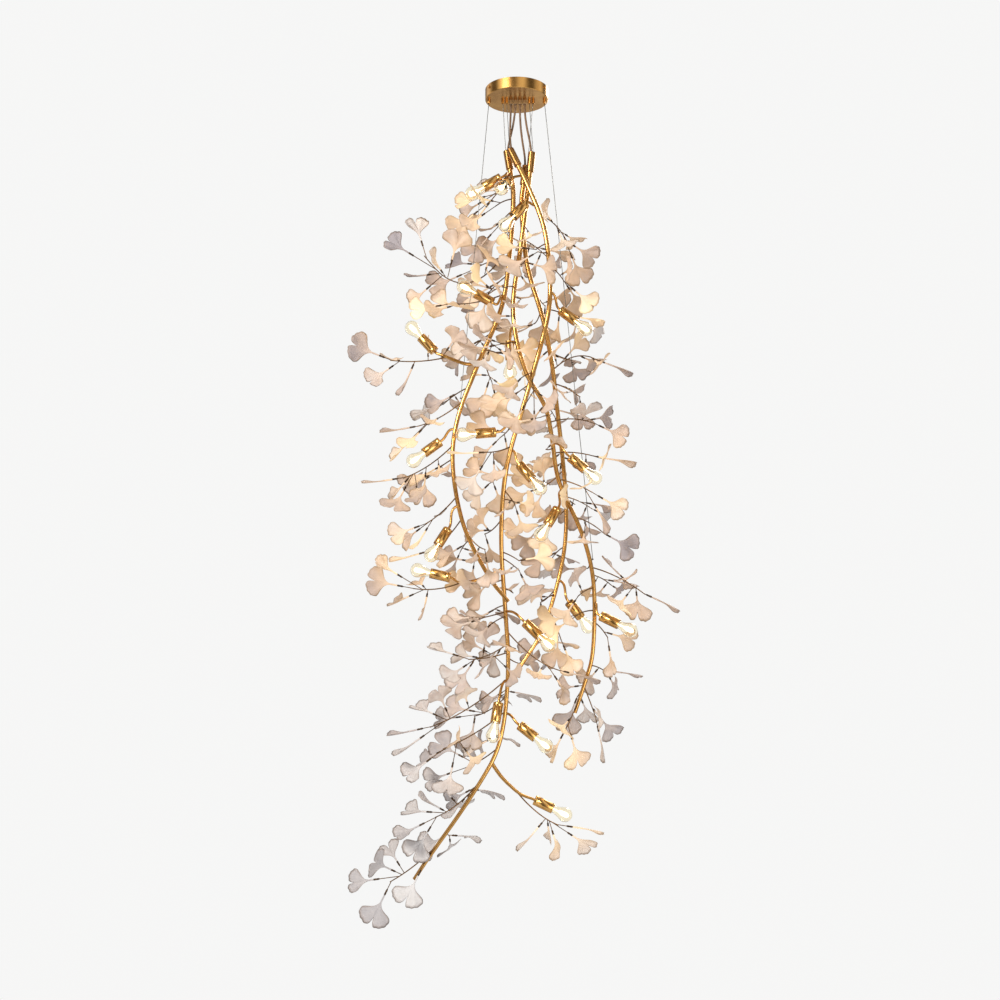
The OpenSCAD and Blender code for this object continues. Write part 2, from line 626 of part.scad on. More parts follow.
module stem(i) {
    color("goldenrod") tube(stem_paths[i], stem_d, stem_tip_d, stem_sides);
}

// Lamps
module lamp_arms() {
    color("goldenrod") {
        for (i = [0 : len(lamps) - 1])
            if (lamps[i][0] >= 0) tube(short_arm(i), arm_d, arm_d, arm_sides);
        for (p = long_arm_paths) tube(p, long_arm_d, arm_d, arm_sides);
    }
}

cup_wall = 1.2;
cup_floor = 7;
cap_r = 6.9;
insert_top = 7;
glass_start = 4;
cap_len = 23;

module at_mouth(i) {
    along(cup_mouth(i), lamp_heading(i)) children();
}

module lampholder_cups() {
    r = cup_d / 2;
    edge = 0.8;
    bore_r = r - cup_wall;
    arm_r = arm_d / 2 + slip;
    color("goldenrod")
        for (i = [0 : len(lamps) - 1])
            at_mouth(i)
                rotate_extrude($fn = round_fn)
                    polygon([
                        [arm_r, -cup_h], [r - edge, -cup_h], [r, -cup_h + edge], [r, 0],
                        [bore_r, 0], [bore_r, -cup_h + cup_floor], [0, -cup_h + cup_floor],
                        [0, -cup_h + arm_seat + 0.2], [arm_r, -cup_h + arm_seat + 0.2]
                    ]);
}

module lampholder_inserts() {
    r = cup_d / 2 - cup_wall - 0.2;
    bore_r = cap_r + slip;
    floor_z = -cup_h + cup_floor;
    color("ivory")
        for (i = [0 : len(lamps) - 1])
            at_mouth(i)
                rotate_extrude($fn = round_fn)
                    polygon([
                        [0, floor_z], [r, floor_z], [r, -insert_top - 1], [r - 1, -insert_top],
                        [bore_r, -insert_top], [bore_r, -glass_start - cap_len - 3],
                        [0, -glass_start - cap_len - 3]
                    ]);
}

module bulb(i) {
    r = bulb_d / 2;
    wall = 1;
    middle = bulb_h - r;
    arc = [for (a = [-36 : 18 : 90]) a];
    color("lightyellow") at_mouth(i) {
        rotate_extrude($fn = round_fn)
            polygon(concat(
                [[8.2, -glass_start], [8.5, 3], [10, middle * 0.36]],
                [for (a = arc) [r * cos(a), middle + r * sin(a)]],
                [for (k = [len(arc) - 1 : -1 : 0])
                    [(r - wall) * cos(arc[k]), middle + (r - wall) * sin(arc[k])]],
                [[9, middle * 0.36 + 0.4], [7.5, 3], [7.2, -glass_start]]
            ));
        rotate_extrude($fn = round_fn)
            polygon([
                [0, -glass_start], [8, -glass_start], [8, -glass_start - 2],
                [cap_r, -glass_start - 2.6], [cap_r, -glass_start - cap_len + 5],
                [4, -glass_start - cap_len + 2], [3, -glass_start - cap_len],
                [0, -glass_start - cap_len]
            ]);
    }
}

// Sprays
module twigs(z) {
    color("sienna") for (row = zones[z]) tube(spray_path(row), twig_d, twig_d, twig_sides);
}

// A stalk is a side wire with the leaf's sleeve crimped on its end
module leaf_stalks(g) {
    wire_r = leaf_wire_d / 2;
    neck_r = neck_d / 2 + 0.2;
    r = neck_r + 0.8;
    color("dimgray")
        for (z = stalk_groups[g])
            for (row = zones[z])
                for (l = leaf_rows(row)) {
                    base = l[2] - wire_seat;
                    top = base + sleeve_len;
                    along(l[0], l[1])
                        rotate_extrude($fn = 24)
                            polygon([
                                [0, 0], [wire_r, 0], [wire_r, base], [r - 0.6, base],
                                [r, base + 0.8], [r, top], [neck_r, top],
                                [neck_r, top - neck_seat], [0, top - neck_seat]
                            ]);
                }
}

root_len = 3;
root_w = 4.4;

module fan_outline(kind) {
    r = fan_r * leaf_size[kind];
    spread = leaf_spread[kind];
    edge = [for (e = fan_edge) r * e[1] * [cos(e[0] * spread), sin(e[0] * spread)]];
    polygon(concat(
        [[-root_len, -root_w / 2], [-root_len, root_w / 2]], edge,
        [[r * (1 - leaf_cleft[kind]), 0]],
        [for (i = [len(edge) - 1 : -1 : 0]) [edge[i][0], -edge[i][1]]]
    ));
}

// The blade is cut from a bent sheet: over a roll across the neck on a full fan,
// and along the neck on a cupped or a rolled one
module leaf(kind) {
    size = leaf_size[kind];
    len = neck_len * size;
    bend_r = leaf_bend_r[kind];
    cylinder(h = len - root_len, d1 = neck_d, d2 = neck_end_d, $fn = 24);
    translate([0, 0, len - root_len]) cylinder(h = root_len + 6, d = neck_end_d, $fn = 24);
    translate([0, 0, len])
        rotate([0, -90, 0])
            intersection() {
                translate([0, 0, -bend_r]) linear_extrude(bend_r + 9) fan_outline(kind);
                if (kind == 0)
                    translate([9, -fan_r * 1.5, leaf_t / 2 + 0.6 - bend_r])
                        rotate([-90, 0, 0]) sheet_roll(bend_r, fan_r * 3);
                else
                    translate([-8, 0, leaf_t / 2 - bend_r])
                        rotate([0, 90, 0]) sheet_roll(bend_r, fan_r * 1.5);
            }
}

module sheet_roll(r, h) {
    difference() {
        cylinder(h = h, r = r, $fn = 96);
        translate([0, 0, -1]) cylinder(h = h + 2, r = r - leaf_t, $fn = 96);
    }
}

module leaves(z) {
    color("linen")
        for (row = zones[z])
            for (l = leaf_rows(row))
                facing(l[0] + l[1] * (l[2] + neck_from_wire), l[1], l[3])
                    leaf(l[4]);
}

ceiling_plate();
canopy_cup();
canopy_screws();
terminal_block();
cable_nipples();
flex_glands();
suspension_cables();
flexes();
top_ferrules();
lamp_arms();
lampholder_cups();
lampholder_inserts();
for (i = [0 : 3])
    stem(i);
for (z = [0 : len(zones) - 1]) {
    twigs(z);
    leaves(z);
}
for (g = [0 : len(stalk_groups) - 1])
    leaf_stalks(g);
for (i = [0 : len(lamps) - 1])
    bulb(i);
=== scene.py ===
import json
import math

import bmesh
import bpy
import numpy as np
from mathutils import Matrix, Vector
from mathutils.bvhtree import BVHTree

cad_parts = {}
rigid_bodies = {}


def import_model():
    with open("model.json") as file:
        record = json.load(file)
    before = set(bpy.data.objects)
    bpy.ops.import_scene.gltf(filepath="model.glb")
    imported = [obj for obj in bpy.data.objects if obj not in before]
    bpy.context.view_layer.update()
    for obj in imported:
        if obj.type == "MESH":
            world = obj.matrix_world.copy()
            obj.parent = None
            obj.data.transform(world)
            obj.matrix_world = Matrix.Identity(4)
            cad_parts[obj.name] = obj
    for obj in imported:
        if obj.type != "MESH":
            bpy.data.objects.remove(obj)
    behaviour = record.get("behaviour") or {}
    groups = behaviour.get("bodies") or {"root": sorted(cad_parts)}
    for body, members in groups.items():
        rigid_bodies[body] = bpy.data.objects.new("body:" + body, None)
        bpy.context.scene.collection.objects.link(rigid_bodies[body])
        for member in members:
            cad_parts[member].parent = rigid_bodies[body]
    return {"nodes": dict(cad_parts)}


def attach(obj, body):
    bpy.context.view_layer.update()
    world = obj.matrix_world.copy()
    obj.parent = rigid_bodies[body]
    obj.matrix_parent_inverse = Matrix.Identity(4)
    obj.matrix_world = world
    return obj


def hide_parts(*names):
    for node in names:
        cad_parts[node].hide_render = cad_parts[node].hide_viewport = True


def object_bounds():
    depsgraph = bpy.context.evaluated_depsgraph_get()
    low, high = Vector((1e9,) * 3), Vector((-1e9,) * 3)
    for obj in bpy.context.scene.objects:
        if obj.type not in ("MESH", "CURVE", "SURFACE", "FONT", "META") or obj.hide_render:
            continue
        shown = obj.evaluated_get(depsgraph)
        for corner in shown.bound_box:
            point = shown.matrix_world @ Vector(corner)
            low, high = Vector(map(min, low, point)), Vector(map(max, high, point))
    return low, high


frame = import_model()
cadNodes = frame["nodes"]
cadBox = [list(corner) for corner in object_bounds()]
world = bpy.context.scene.world or bpy.data.worlds.new("studio")
bpy.context.scene.world = world
mm = 0.001
print("frame loaded:", len(cadNodes), "nodes")


# Small helpers for node trees

def feed(tree, socket, value):
    if isinstance(value, bpy.types.NodeSocket):
        tree.links.new(value, socket)
    else:
        socket.default_value = value


def addNode(tree, kind, inputs=None, **settings):
    node = tree.nodes.new(kind)
    for name, value in settings.items():
        setattr(node, name, value)
    for key, value in (inputs or {}).items():
        feed(tree, node.inputs[key], value)
    return node


def calc(tree, operation, *values):
    node = addNode(tree, "ShaderNodeMath", operation=operation)
    for socket, value in zip(node.inputs, values):
        feed(tree, socket, value)
    return node.outputs[0]


def flow(tree, kind, inputs=None, **settings):  # the first output of a new node
    return addNode(tree, kind, inputs, **settings).outputs[0]


def times(tree, first, *others):
    for value in others:
        first = calc(tree, "MULTIPLY", first, value)
    return first


def plus(tree, first, *others):
    for value in others:
        first = calc(tree, "ADD", first, value)
    return first


def minus(tree, first, second):
    return calc(tree, "SUBTRACT", first, second)


def partsOf(tree, vector):
    return addNode(tree, "ShaderNodeSeparateXYZ", {0: vector}).outputs


def stored(tree, name, kind):  # an attribute inside a geometry tree
    return flow(tree, "GeometryNodeInputNamedAttribute", {"Name": name}, data_type=kind)


def storedOn(tree, geometry, name, value, kind="FLOAT_VECTOR"):
    return flow(tree, "GeometryNodeStoreNamedAttribute", {"Geometry": geometry, "Name": name, "Value": value},
                data_type=kind, domain="POINT")


def vectorOf(tree, x, y, z):
    return flow(tree, "ShaderNodeCombineXYZ", {0: x, 1: y, 2: z})


def shapedBy(tree, value, points):  # a float curve through the given points
    node = addNode(tree, "ShaderNodeFloatCurve", {"Value": value})
    curve = node.mapping.curves[0]
    curve.points[0].location = points[0]
    curve.points[1].location = points[-1]
    for x, y in points[1:-1]:
        curve.points.new(x, y)
    node.mapping.update()
    return node.outputs[0]


def addSockets(tree, side, sockets):  # each with its default value, or with the word for its kind
    for label, value in sockets.items():
        kind = (value if isinstance(value, str) else "Int" if isinstance(value, int)
                else "Float" if isinstance(value, float) else "Vector" if len(value) == 3 else "Color")
        socket = tree.interface.new_socket(label, in_out=side, socket_type="NodeSocket" + kind)
        if value != kind:
            socket.default_value = value


def newTree(name, kind, inputs, outputs):
    tree = bpy.data.node_groups.new(name, kind)
    addSockets(tree, "INPUT", inputs)
    addSockets(tree, "OUTPUT", outputs)
    return tree, tree.nodes.new("NodeGroupInput").outputs, tree.nodes.new("NodeGroupOutput").inputs


def newObject(name, data):
    made = bpy.data.objects.new(name, data)
    bpy.context.scene.collection.objects.link(made)
    return made


# Camera

cameraPlan = {"place": (0, -3.028, -1.323), "pitchUp": 3.31, "lens": 46.71, "shift": (-0.0167, 0.07)}

camera = newObject("camera", bpy.data.cameras.new("camera"))
camera.location = cameraPlan["place"]
camera.rotation_euler = (math.radians(90 + cameraPlan["pitchUp"]), 0, 0)
camera.data.lens = cameraPlan["lens"]
camera.data.shift_x, camera.data.shift_y = cameraPlan["shift"]
bpy.context.scene.camera = camera
bpy.context.scene.view_settings.view_transform = "Standard"


# Shared shader groups

def noise(tree, where, scale, detail=3.0, roughness=0.5):
    return flow(tree, "ShaderNodeTexNoise", {
        "Vector": where, "Scale": scale, "Detail": detail, "Roughness": roughness})


def spread(tree, value, low, high, start=0.0, end=1.0):  # a value's range laid onto another
    return flow(tree, "ShaderNodeMapRange", {
        "Value": value, "From Min": low, "From Max": high, "To Min": start, "To Max": end})


def blendColours(tree, share, one, two):
    node = addNode(tree, "ShaderNodeMix", data_type="RGBA")
    feed(tree, node.inputs[0], share)
    feed(tree, node.inputs[6], one)
    feed(tree, node.inputs[7], two)
    return node.outputs[2]


brushedPlan = {  # ranges as from, to and what they become
    "broadScale": 34.0, "spotScale": 420.0, "spots": (0.58, 0.78), "lineTone": (0.3, 0.7, 0.0, 0.75),
    "broadTone": (0.35, 0.65, -0.12, 0.16), "lineSheen": (0.3, 0.7, 0.07, -0.05), "spotSheen": 0.3, "spotDepth": 0.4,
}

# Brushed metal: fine lines along the grain, broad tone changes and small dark spots of age
brushed, given, result = newTree("brushedMetal", "ShaderNodeTree", {
    "Grain": (0, 0, 0), "Place": (0, 0, 0), "Line Count": 60.0, "Light Colour": (1, 1, 1, 1),
    "Deep Colour": (0, 0, 0, 1), "Age": 0.3, "Roughness": 0.3},
    {"Colour": "Color", "Roughness": "Float", "Height": "Float"})
lines = noise(brushed, given["Grain"], given["Line Count"], 4.0, 0.6)
broad = noise(brushed, given["Place"], brushedPlan["broadScale"], 2.0)
spots = spread(brushed, noise(brushed, given["Place"], brushedPlan["spotScale"], 3.0, 0.65), *brushedPlan["spots"])
aged = times(brushed, spots, given["Age"])
depth = plus(brushed, spread(brushed, lines, *brushedPlan["lineTone"]),
             spread(brushed, broad, *brushedPlan["broadTone"]))
shade = calc(brushed, "MAXIMUM", calc(brushed, "MINIMUM", depth, 1.0), 0.0)
tone = blendColours(brushed, shade, given["Deep Colour"], given["Light Colour"])
brushed.links.new(blendColours(brushed, aged, tone, given["Deep Colour"]), result["Colour"])
rough = plus(brushed, given["Roughness"], spread(brushed, lines, *brushedPlan["lineSheen"]))
brushed.links.new(plus(brushed, rough, times(brushed, aged, brushedPlan["spotSheen"])), result["Roughness"])
brushed.links.new(minus(brushed, lines, times(brushed, aged, brushedPlan["spotDepth"])), result["Height"])

grainedPlan = {"cloudScale": 24.0, "clouds": (0.35, 0.65), "sheen": (0.3, 0.7, -0.06, 0.06)}

# Fine grain of matt surfaces, from sheath to moulded plastic
grained, given, result = newTree("mattGrain", "ShaderNodeTree", {
    "Place": (0, 0, 0), "Scale": 600.0, "Colour": (1, 1, 1, 1), "Cloud Colour": (1, 1, 1, 1), "Roughness": 0.5},
    {"Colour": "Color", "Roughness": "Float", "Height": "Float"})
fine = noise(grained, given["Place"], given["Scale"], 2.0, 0.7)
cloud = spread(grained, noise(grained, given["Place"], grainedPlan["cloudScale"], 3.0, 0.55), *grainedPlan["clouds"])
rough = plus(grained, given["Roughness"], spread(grained, fine, *grainedPlan["sheen"]))
grained.links.new(blendColours(grained, cloud, given["Colour"], given["Cloud Colour"]), result["Colour"])
grained.links.new(rough, result["Roughness"])
grained.links.new(fine, result["Height"])


# Materials

def newMaterial(name, **plain):  # plain values are set on the shader's own sockets
    material = bpy.data.materials.new(name)
    material.use_nodes = True
    tree = material.node_tree
    shader = tree.nodes["Principled BSDF"]
    for socket, value in plain.items():
        shader.inputs[socket.replace("_", " ")].default_value = value
    return material, tree, shader


def placeOf(tree, size=(1, 1, 1)):
    seat = addNode(tree, "ShaderNodeTexCoord").outputs["Object"]
    return flow(tree, "ShaderNodeMapping", {"Vector": seat, "Scale": size})


def attributeOf(tree, name):
    return addNode(tree, "ShaderNodeAttribute", attribute_name=name).outputs


def embossed(tree, shader, height, strength, distance):
    bump = addNode(tree, "ShaderNodeBump", {"Strength": strength, "Distance": distance, "Height": height})
    tree.links.new(bump.outputs[0], shader.inputs["Normal"])


reliefPlan = {"metal": 0.0004, "matt": 0.0003}


def surfaced(tree, shader, group, values, strength, relief):
    for key, value in values.items():
        feed(tree, group.inputs[key], value)
    for output, socket in [("Colour", "Base Color"), ("Roughness", "Roughness")]:
        tree.links.new(group.outputs[output], shader.inputs[socket])
    embossed(tree, shader, group.outputs["Height"], strength, relief)


def metal(name, light, deep, lineCount, grain, roughness=0.3, age=0.3, strength=0.12):
    material, tree, shader = newMaterial(name, Metallic=1.0)
    along = attributeOf(tree, "grain")["Vector"] if grain == "tube" else placeOf(tree, grain)
    group = addNode(tree, "ShaderNodeGroup", node_tree=brushed)
    surfaced(tree, shader, group, {
        "Grain": along, "Place": placeOf(tree), "Line Count": lineCount, "Age": age,
        "Light Colour": (*light, 1), "Deep Colour": (*deep, 1), "Roughness": roughness},
        strength, reliefPlan["metal"])
    return material


def matt(name, colour, cloudColour, scale, roughness, strength=0.1, **plain):
    material, tree, shader = newMaterial(name, **plain)
    group = addNode(tree, "ShaderNodeGroup", node_tree=grained)
    surfaced(tree, shader, group, {
        "Place": placeOf(tree), "Scale": scale, "Colour": (*colour, 1), "Cloud Colour": (*cloudColour, 1),
        "Roughness": roughness},
        strength, reliefPlan["matt"])
    return material


canopyBrass = metal("canopyBrass", (0.82, 0.48, 0.15), (0.44, 0.22, 0.06), 14.0, (1, 1, 0.04), 0.24, 0.2)
ferruleBrass = metal("ferruleBrass", (0.62, 0.34, 0.11), (0.22, 0.1, 0.03), 500.0, (1, 1, 0.05), 0.26, 0.3)
stemBrass = metal("stemBrass", (0.86, 0.51, 0.17), (0.42, 0.2, 0.05), 3.4, "tube", 0.22, 0.05, 0.05)
cupBrass = metal("cupBrass", (0.95, 0.6, 0.22), (0.42, 0.2, 0.05), 4.0, "tube", 0.22, 0.03, 0.06)
antiqueBrass = metal("antiqueBrass", (0.36, 0.19, 0.07), (0.05, 0.027, 0.012), 3.0, "tube", 0.42, 0.6)
darkSleeve = metal("darkSleeve", (0.15, 0.09, 0.05), (0.05, 0.032, 0.02), 900.0, (1, 1, 1), 0.4, 0.5)
cableSteel = metal("cableSteel", (0.22, 0.21, 0.19), (0.1, 0.095, 0.09), 1600.0, (1, 1, 0.2), 0.3, 0.3)
plateSteel = metal("plateSteel", (0.6, 0.61, 0.62), (0.38, 0.39, 0.4), 500.0, (0.1, 1, 1), 0.4, 0.3)
capMetal = metal("capMetal", (0.7, 0.68, 0.62), (0.4, 0.38, 0.34), 900.0, (1, 1, 1), 0.3, 0.2)
flexSheath = matt("flexSheath", (0.24, 0.13, 0.06), (0.14, 0.08, 0.04), 1900.0, 0.55, 0.35)
glandPlastic = matt("glandPlastic", (0.42, 0.25, 0.1), (0.33, 0.19, 0.075), 1500.0, 0.45)
blockPlastic = matt("blockPlastic", (0.78, 0.76, 0.7), (0.7, 0.68, 0.62), 1200.0, 0.5)
insertPlastic = matt("insertPlastic", (0.75, 0.72, 0.66), (0.66, 0.62, 0.55), 1200.0, 0.45)

porcelainPlan = {
    "lilac": (0.44, 0.4, 0.42), "blush": (0.74, 0.59, 0.51), "cream": (0.87, 0.81, 0.76),
    "shade": (0.64, 0.61, 0.6), "pale": (0.88, 0.86, 0.84), "glow": (1.0, 0.56, 0.16), "hot": (1.0, 0.84, 0.46),
    "stops": {"lilac": 0.08, "blush": 0.5, "cream": 0.92}, "cloudScale": 45.0, "cloudiness": 0.18,
    "coolShare": 0.75, "paintedGlowShare": 0.45, "glowStrength": 0.66,
    "ribCount": 34.0, "ribShare": 0.32, "ribGrowth": (0.1, 0.7), "ribHeight": 0.5,
    "paintedGrooveShade": (0.25, 0.2, 0.18), "rim": (0.34, 0.24, 0.18), "rimShare": 0.6, "rimFrom": 0.86, "rimTo": 0.99,
    "pitScale": 900.0, "smooth": 0.5, "rough": 0.66, "pitHeight": 0.1, "relief": 0.42, "reliefDepth": 0.0009,
}


def porcelainLook(plan):
    material, tree, shader = newMaterial("porcelain", IOR=1.5)
    tone, paintedGlow = attributeOf(tree, "tone")["Fac"], attributeOf(tree, "paintedGlow")["Fac"]
    across = partsOf(tree, attributeOf(tree, "fan")["Vector"])
    place = placeOf(tree)
    cloud = noise(tree, place, plan["cloudScale"], 3.0)
    mood = plus(tree, tone, spread(tree, cloud, 0.3, 0.7, -plan["cloudiness"], plan["cloudiness"]))
    ramp = addNode(tree, "ShaderNodeValToRGB", {0: mood})
    ramp.color_ramp.elements.new(plan["stops"]["blush"])
    for element, (colour, stop) in zip(ramp.color_ramp.elements, plan["stops"].items()):
        element.color = (*plan[colour], 1)
        element.position = stop
    pale = blendColours(tree, times(tree, attributeOf(tree, "cool")["Fac"], plan["coolShare"]), ramp.outputs[0],
                        blendColours(tree, mood, (*plan["shade"], 1), (*plan["pale"], 1)))
    ribs = calc(tree, "SINE", times(tree, across[0], plan["ribCount"] * math.pi))
    ribDepth = times(tree, ribs, spread(tree, across[1], *plan["ribGrowth"]))
    # Painted lamp glow: orange to pale yellow, mixed into the leaf colour and given as a weak emission, in place of
    # bulb light shining through the porcelain
    paintedGlowColour = blendColours(tree, times(tree, paintedGlow, paintedGlow), (*plan["glow"], 1), (*plan["hot"], 1))
    lit = blendColours(tree, times(tree, paintedGlow, plan["paintedGlowShare"]), pale, paintedGlowColour)
    # Painted shade: the troughs of the ribs are darkened towards a grey-brown
    ribbed = blendColours(tree, spread(tree, ribDepth, -1.0, 1.0, 0.0, plan["ribShare"]), lit, (*plan["paintedGrooveShade"], 1))
    margin = calc(tree, "MAXIMUM", calc(tree, "ABSOLUTE", across[0]), across[1])
    rimmed = blendColours(tree, spread(tree, margin, plan["rimFrom"], plan["rimTo"], 0.0, plan["rimShare"]),
                          ribbed, (*plan["rim"], 1))
    tree.links.new(rimmed, shader.inputs["Base Color"])
    tree.links.new(blendColours(tree, paintedGlow, (0, 0, 0, 1), paintedGlowColour), shader.inputs["Emission Color"])
    shader.inputs["Emission Strength"].default_value = plan["glowStrength"]
    pits = noise(tree, place, plan["pitScale"], 2.0, 0.6)
    tree.links.new(spread(tree, pits, 0.3, 0.7, plan["smooth"], plan["rough"]), shader.inputs["Roughness"])
    height = plus(tree, times(tree, ribDepth, plan["ribHeight"]), times(tree, pits, plan["pitHeight"]))
    embossed(tree, shader, height, plan["relief"], plan["reliefDepth"])
    return material


porcelain = porcelainLook(porcelainPlan)

bulbPlan = {
    "glassTint": (1.0, 0.95, 0.82, 1), "smearScale": 160.0, "clear": 0.01, "smeared": 0.07,
    "glowColour": (1.0, 0.82, 0.5, 1), "glowStrength": 4.0, "coreScale": 300.0, "coreDark": (0.9, 0.7, 0.4, 1),
    "coreLight": (1, 0.85, 0.6, 1),
}
bulbGlass, tree, shader = newMaterial("bulbGlass", Transmission_Weight=1.0, IOR=1.45)
shader.inputs["Base Color"].default_value = bulbPlan["glassTint"]
smear = noise(tree, placeOf(tree), bulbPlan["smearScale"], 3.0)
tree.links.new(spread(tree, smear, 0.4, 0.8, bulbPlan["clear"], bulbPlan["smeared"]), shader.inputs["Roughness"])
bulbGlow, tree, shader = newMaterial("bulbGlow", Emission_Strength=bulbPlan["glowStrength"])
shader.inputs["Emission Color"].default_value = bulbPlan["glowColour"]
core = noise(tree, placeOf(tree), bulbPlan["coreScale"])
tree.links.new(blendColours(tree, core, bulbPlan["coreDark"], bulbPlan["coreLight"]), shader.inputs["Base Color"])
print("materials made:", len(bpy.data.materials))


# Geometry helpers

def geometryTree(name, inputs):
    return newTree(name, "GeometryNodeTree", {"Geometry": "Geometry", **inputs}, {"Geometry": "Geometry"})


def grow(name, tree, mesh, **values):  # runs a geometry tree on a mesh and keeps the plain result
    source = newObject(name + "Source", mesh)
    modifier = source.modifiers.new("grow", "NODES")
    modifier.node_group = tree
    sockets = {s.name: s.identifier for s in tree.interface.items_tree if s.in_out == "INPUT"}
    for label, value in values.items():
        modifier[sockets[label]] = value
    bpy.context.view_layer.update()
    made = bpy.data.meshes.new_from_object(source.evaluated_get(bpy.context.evaluated_depsgraph_get()))
    bpy.data.objects.remove(source)
    made.name = name
    return made


def setPiece(name, mesh, body, slot, *replaced):
    piece = newObject(name, mesh)
    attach(piece, body)
    if replaced:
        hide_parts(*replaced)
    return piece


def dress(node, material):
    mesh = cadNodes[node].data
    mesh.materials.clear()
    mesh.materials.append(material)


markKinds = {"FLOAT": np.float32, "FLOAT_VECTOR": np.float32, "INT": np.int32, "BOOLEAN": bool}


def mark(mesh, name, kind, values):  # a value for each point of a mesh
    field = "vector" if kind == "FLOAT_VECTOR" else "value"
    mesh.attributes.new(name, kind, "POINT").data.foreach_set(field, np.asarray(values, markKinds[kind]).ravel())


def pathMesh(name, paths):  # open lines with a girth at each point
    points, edges, girths = [], [], []
    for path, girth in paths:
        start = len(points)
        points += [tuple(p) for p in path]
        edges += [(start + i, start + i + 1) for i in range(len(path) - 1)]
        girths += list(np.broadcast_to(girth, len(path)))
    mesh = bpy.data.meshes.new(name)
    mesh.from_pydata(points, edges, [])
    mark(mesh, "girth", "FLOAT", girths)
    return mesh


def unit(v):
    return v / np.linalg.norm(v)


def smoothPath(points, steps):  # a curve through all the points, bent evenly
    p = np.array(points, float)
    p = np.vstack([2 * p[0] - p[1], p, 2 * p[-1] - p[-2]])
    made = []
    for a, b, c, d in zip(p, p[1:], p[2:], p[3:]):
        for t in np.arange(steps) / steps:
            made.append(0.5 * (2 * b + (c - a) * t + (2 * a - 5 * b + 4 * c - d) * t ** 2
                               + (3 * b - a - 3 * c + d) * t ** 3))
    return np.array(made + [p[-2]])


grainStretch = 1.6  # how fast the grain changes along a tube, against round it

# A round tube along every line of a mesh, smoothed, with a grain that runs along it
tubeTree, given, result = geometryTree("windingTube", {"Sides": 12, "Smoothness": 4, "Material": "Material"})
t = tubeTree
lineOf = flow(t, "GeometryNodeMeshToCurve", {"Mesh": given["Geometry"]})
bent = flow(t, "GeometryNodeCurveSplineType", {"Curve": lineOf}, spline_type="CATMULL_ROM")
bent = flow(t, "GeometryNodeSetSplineResolution", {0: bent, "Resolution": given["Smoothness"]})
bent = flow(t, "GeometryNodeSetCurveRadius", {"Curve": bent, "Radius": stored(t, "girth", "FLOAT")})
bent = storedOn(t, bent, "along", addNode(t, "GeometryNodeSplineParameter").outputs["Length"], "FLOAT")
ring = flow(t, "GeometryNodeCurvePrimitiveCircle", {"Resolution": given["Sides"], "Radius": 1.0})
ring = storedOn(t, ring, "round", flow(t, "GeometryNodeInputPosition"))
skin = flow(t, "GeometryNodeCurveToMesh", {
    "Curve": bent, "Profile Curve": ring, "Fill Caps": True, "Scale": flow(t, "GeometryNodeInputRadius")})
turn = partsOf(t, stored(t, "round", "FLOAT_VECTOR"))
run = times(t, stored(t, "along", "FLOAT"), grainStretch)
skin = storedOn(t, skin, "grain", vectorOf(t, turn[0], turn[1], run))
skin = flow(t, "GeometryNodeSetShadeSmooth", {0: skin})
skin = flow(t, "GeometryNodeRealizeInstances", {0: skin})
skin = flow(t, "GeometryNodeSetMaterial", {0: skin, "Material": given["Material"]})
t.links.new(skin, result[0])


def setTubes(name, paths, plan, material, slot, *replaced):
    mesh = grow(name, tubeTree, pathMesh(name + "Lines", paths), Sides=plan["sides"],
                Smoothness=plan["smoothness"], Material=material)
    setPiece(name, mesh, "cluster", slot, *replaced)


# Flexes

flexPlan = {
    "diameter": 0.005, "exitHeight": -0.035, "steps": 3, "roundness": 3,
    "routes": {
        "flexLeft": [(-14, 0, -26.6), (-14, 0, -36), (-14.5, 0, -60), (-15.5, 0, -90), (-15.5, -1, -118),
                     (-14.5, -2.6, -132), (-12.7, -3.9, -143.6), (-9.1, -5.6, -151.7)],
        "flexMiddle": [(-3, 0, -26.6), (-3, 0, -36), (-5, 2, -60), (-10, 7, -90), (-17, 13, -118),
                       (-21, 17.5, -139), (-19.5, 16.7, -148.8)],
        "flexRight": [(19, 0, -26.6), (19, 0, -36), (20, 0, -60), (24, -1, -90), (30, -2.5, -120),
                      (33, -3, -138), (34.2, -2.9, -149.8), (33.1, -2.2, -159.7)],
        "flexRear": [(8, 0, -26.6), (8, 0, -36), (8, 3, -60), (10, 9, -90), (14, 17, -120),
                     (19, 23.5, -150), (20.1, 24.3, -171.8), (18.8, 24.7, -181.7)],
    },
    "lengths": {"flexLeft": 0.127, "flexMiddle": 0.127, "flexRight": 0.135, "flexRear": 0.16},
}

for name, route in flexPlan["routes"].items():
    line = smoothPath(route, flexPlan["steps"]) * mm
    curve = bpy.data.curves.new(name, "CURVE")
    curve.dimensions = "3D"
    spline = curve.splines.new("POLY")
    spline.points.add(len(line) - 1)
    for point, place in zip(spline.points, line):
        point.co = (*place, 1)
    curve.bevel_depth = flexPlan["diameter"] / 2
    curve.bevel_resolution = flexPlan["roundness"]
    curve.use_fill_caps = True
    curve.materials.append(flexSheath)
    flex = newObject(name, curve)
    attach(flex, "cluster")
    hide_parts("flexes")
    print(name, "is", round(float(np.linalg.norm(np.diff(line, axis=0), axis=1).sum()), 4), "m")


# Stems, lamp arms and sprays

